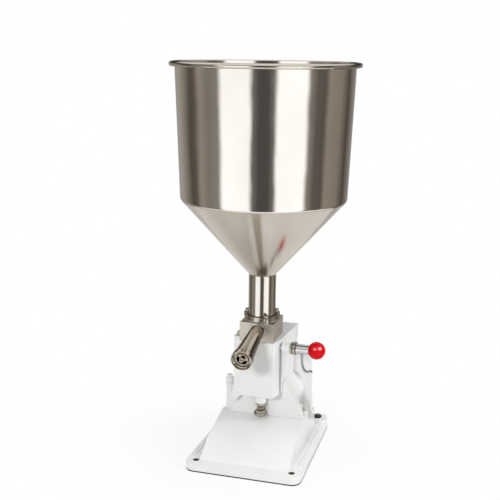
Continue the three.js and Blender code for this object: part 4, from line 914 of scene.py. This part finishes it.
def camera():
    """The camera, level before its roll, looking down and to its left at the object."""
    right = Vector((math.cos(YAW), math.sin(YAW), 0))
    forward = Vector((-math.sin(YAW) * math.cos(PITCH), math.cos(YAW) * math.cos(PITCH), -math.sin(PITCH)))
    down = forward.cross(right)
    rolled_right = math.cos(ROLL) * right + math.sin(ROLL) * down
    rolled_down = -math.sin(ROLL) * right + math.cos(ROLL) * down
    rows = Matrix((rolled_right, -rolled_down, -forward)).transposed().to_4x4()
    data = bpy.data.cameras.new("camera")
    data.sensor_width = SENSOR
    data.lens = SENSOR * FOCAL_PIXELS / PICTURE_PIXELS
    data.clip_start = NEAR_CLIP
    made = bpy.data.objects.new("camera", data)
    made.matrix_world = Matrix.Translation(CAMERA_PLACE) @ rows
    bpy.context.scene.collection.objects.link(made)
    bpy.context.scene.camera = made


camera()

# Floor and light.

FLOOR_RADIUS, FLOOR_THICK = 620, 2.0
FADE_START, FADE_END = 0.12, 0.32  # metres from the middle, where the floor fades into the white world
FADE_LEAST_SHARE = 0.85
AIM, TOP_AIM = (0, 0, 0.2), (0, 0, 0.1)  # metres, where the lamps point


def floor():
    """A white disc that keeps the object's shadow near it and fades into the white world."""
    mesh = turned_mesh("floor", band(0, FLOOR_RADIUS, -FLOOR_THICK, 0), ROUND)
    mat = material("floor_white", (0.8, 0.8, 0.79), roughness=0.9, specular=0.1)
    place = node(mat, "ShaderNodeTexCoord")
    distance = node(mat, "ShaderNodeVectorMath", operation="LENGTH")
    link(mat, place, "Object", distance, 0)
    fade = mapped(mat, distance, "Value", (FADE_START, FADE_END), (FADE_LEAST_SHARE, 1))
    path = node(mat, "ShaderNodeLightPath")
    seen = node(mat, "ShaderNodeMath", operation="MULTIPLY")
    link(mat, fade, "Result", seen, 0)
    link(mat, path, "Is Camera Ray", seen, 1)
    plain = node(mat, "ShaderNodeEmission", Strength=1.0)
    mix = node(mat, "ShaderNodeMixShader")
    link(mat, seen, 0, mix, 0)
    link(mat, shader_of(mat), 0, mix, 1)
    link(mat, plain, 0, mix, 2)
    link(mat, mix, 0, mat.node_tree.nodes["Material Output"], "Surface")
    place_object("floor", mesh, mat)


def lamp(name, place, target, width, power, mirrored=False):
    """A square lamp in metres and watts, which metal mirrors only when told to."""
    data = bpy.data.lights.new(name, "AREA")
    data.shape = "RECTANGLE"
    data.size = width
    data.size_y = width
    data.energy = power
    made = bpy.data.objects.new(name, data)
    made.location = place
    made.rotation_euler = (Vector(target) - Vector(place)).to_track_quat("-Z", "Y").to_euler()
    made.visible_glossy = mirrored
    bpy.context.scene.collection.objects.link(made)
    return made


def sparks():
    """Two small bright lamps that only give the knob its highlights."""
    receivers = bpy.data.collections.new("knob_only")
    receivers.objects.link(knob)
    for side, place in zip(SIDES, ((-0.49, -1.34, 1.2), (1.49, -0.59, 1.17))):
        made = lamp("spark_" + side, place, target=(0.1, 0, 0.19), width=0.26, power=180, mirrored=True)
        made.visible_diffuse = False
        made.light_linking.receiver_collection = receivers


floor()
lamp("key", (-0.15, -1.9, 0.95), AIM, width=0.26, power=15.5)
lamp("fill_right", (1.9, 0.0, 1.1), AIM, width=0.9, power=20)
lamp("fill_left", (-1.7, -0.1, 1.1), AIM, width=0.9, power=5)
lamp("top", (0.2, -0.1, 2.2), TOP_AIM, width=1.0, power=16.5)
sparks()

# World.

# The studio that metal mirrors: pale screens and dark gaps round the horizon, by compass angle
# from the front in degrees, with a brightness and a warmth for each.
SCREENS = [
    (-180, 0.6, 0.1), (-132, 0.6, 0.1), (-112, 0.32, 0.3), (-96, 0.1, 0.3),
    (-86, 0.12, 0.3), (-76, 0.34, 0.3), (-62, 0.24, 0.2), (-47, 0.28, 0.1),
    (-40, 1.34, -0.1), (-5, 1.26, -0.1), (0, 0.18, 0.1), (8, 0.085, 0.1),
    (20, 0.085, 0.1), (27, 0.2, 0.1), (32, 1.3, -0.1), (68, 1.36, -0.1),
    (74, 0.3, 0.2), (84, 0.13, 0.2), (96, 0.12, 0.3), (104, 0.32, 0.3),
    (128, 0.28, 0.3), (146, 0.1, 0.3), (158, 0.28, 0.2), (180, 0.6, 0.1),
]

# Above the screens: a dark gap and then the pale ceiling, by height of the ray, with how much it covers
# the screens and its brightness.
CEILING = [(0, 0, 0.03), (0.1, 0, 0.03), (0.16, 1, 0.03), (0.34, 1, 0.04), (0.44, 1, 0.85), (1, 1, 0.95)]

SOFT_LEVEL = 0.42  # of the light that falls on paint
GREEN_LOSS_SHARE, BLUE_LOSS_SHARE = 0.35, 0.75  # what a warmth of 1 takes away


def screen_color(level, warmth):
    return (level, level * (1 - GREEN_LOSS_SHARE * warmth), level * (1 - BLUE_LOSS_SHARE * warmth), 1)


def backdrop(studio, level):
    return node(studio, "ShaderNodeBackground", Strength=level, Color=(1, 1, 1, 1))


def mixed(studio, path, kind_of_ray, other, for_ray):
    """One shader for a kind of ray and another for the rest."""
    mix = node(studio, "ShaderNodeMixShader")
    link(studio, path, kind_of_ray, mix, 0)
    link(studio, other, 0, mix, 1)
    link(studio, for_ray, 0, mix, 2)
    return mix


def world():
    """White for the camera, soft white for paint and the screens and the ceiling for what metal mirrors."""
    studio = bpy.data.worlds.new("studio")
    studio.use_nodes = True
    bpy.context.scene.world = studio
    studio.node_tree.nodes.remove(studio.node_tree.nodes["Background"])
    place = node(studio, "ShaderNodeTexCoord")
    split = node(studio, "ShaderNodeSeparateXYZ")
    link(studio, place, "Generated", split, 0)
    front = node(studio, "ShaderNodeMath", operation="MULTIPLY")
    link(studio, split, "Y", front, 0)
    front.inputs[1].default_value = -1
    compass = node(studio, "ShaderNodeMath", operation="ARCTAN2")
    link(studio, split, "X", compass, 0)
    link(studio, front, 0, compass, 1)
    share = mapped(studio, compass, 0, (-math.pi, math.pi), (0, 1))
    stops = [((degrees + 180) / 360, screen_color(level, warmth)) for degrees, level, warmth in SCREENS]
    screens = ramped(studio, share, "Result", stops)
    stops = [(height, (level, level, level, cover)) for height, cover, level in CEILING]
    ceiling = ramped(studio, split, "Z", stops)
    sky = node(studio, "ShaderNodeMix", data_type="RGBA")
    link(studio, ceiling, "Alpha", sky, "Factor")
    link(studio, screens, "Color", sky, 6)
    link(studio, ceiling, "Color", sky, 7)
    mirrored = backdrop(studio, 1)
    link(studio, sky, 2, mirrored, "Color")
    path = node(studio, "ShaderNodeLightPath")
    lit = mixed(studio, path, "Is Glossy Ray", backdrop(studio, SOFT_LEVEL), mirrored)
    seen = mixed(studio, path, "Is Camera Ray", lit, backdrop(studio, 1))
    link(studio, seen, 0, studio.node_tree.nodes["World Output"], "Surface")


world()
bpy.context.scene.view_settings.view_transform = "Standard"
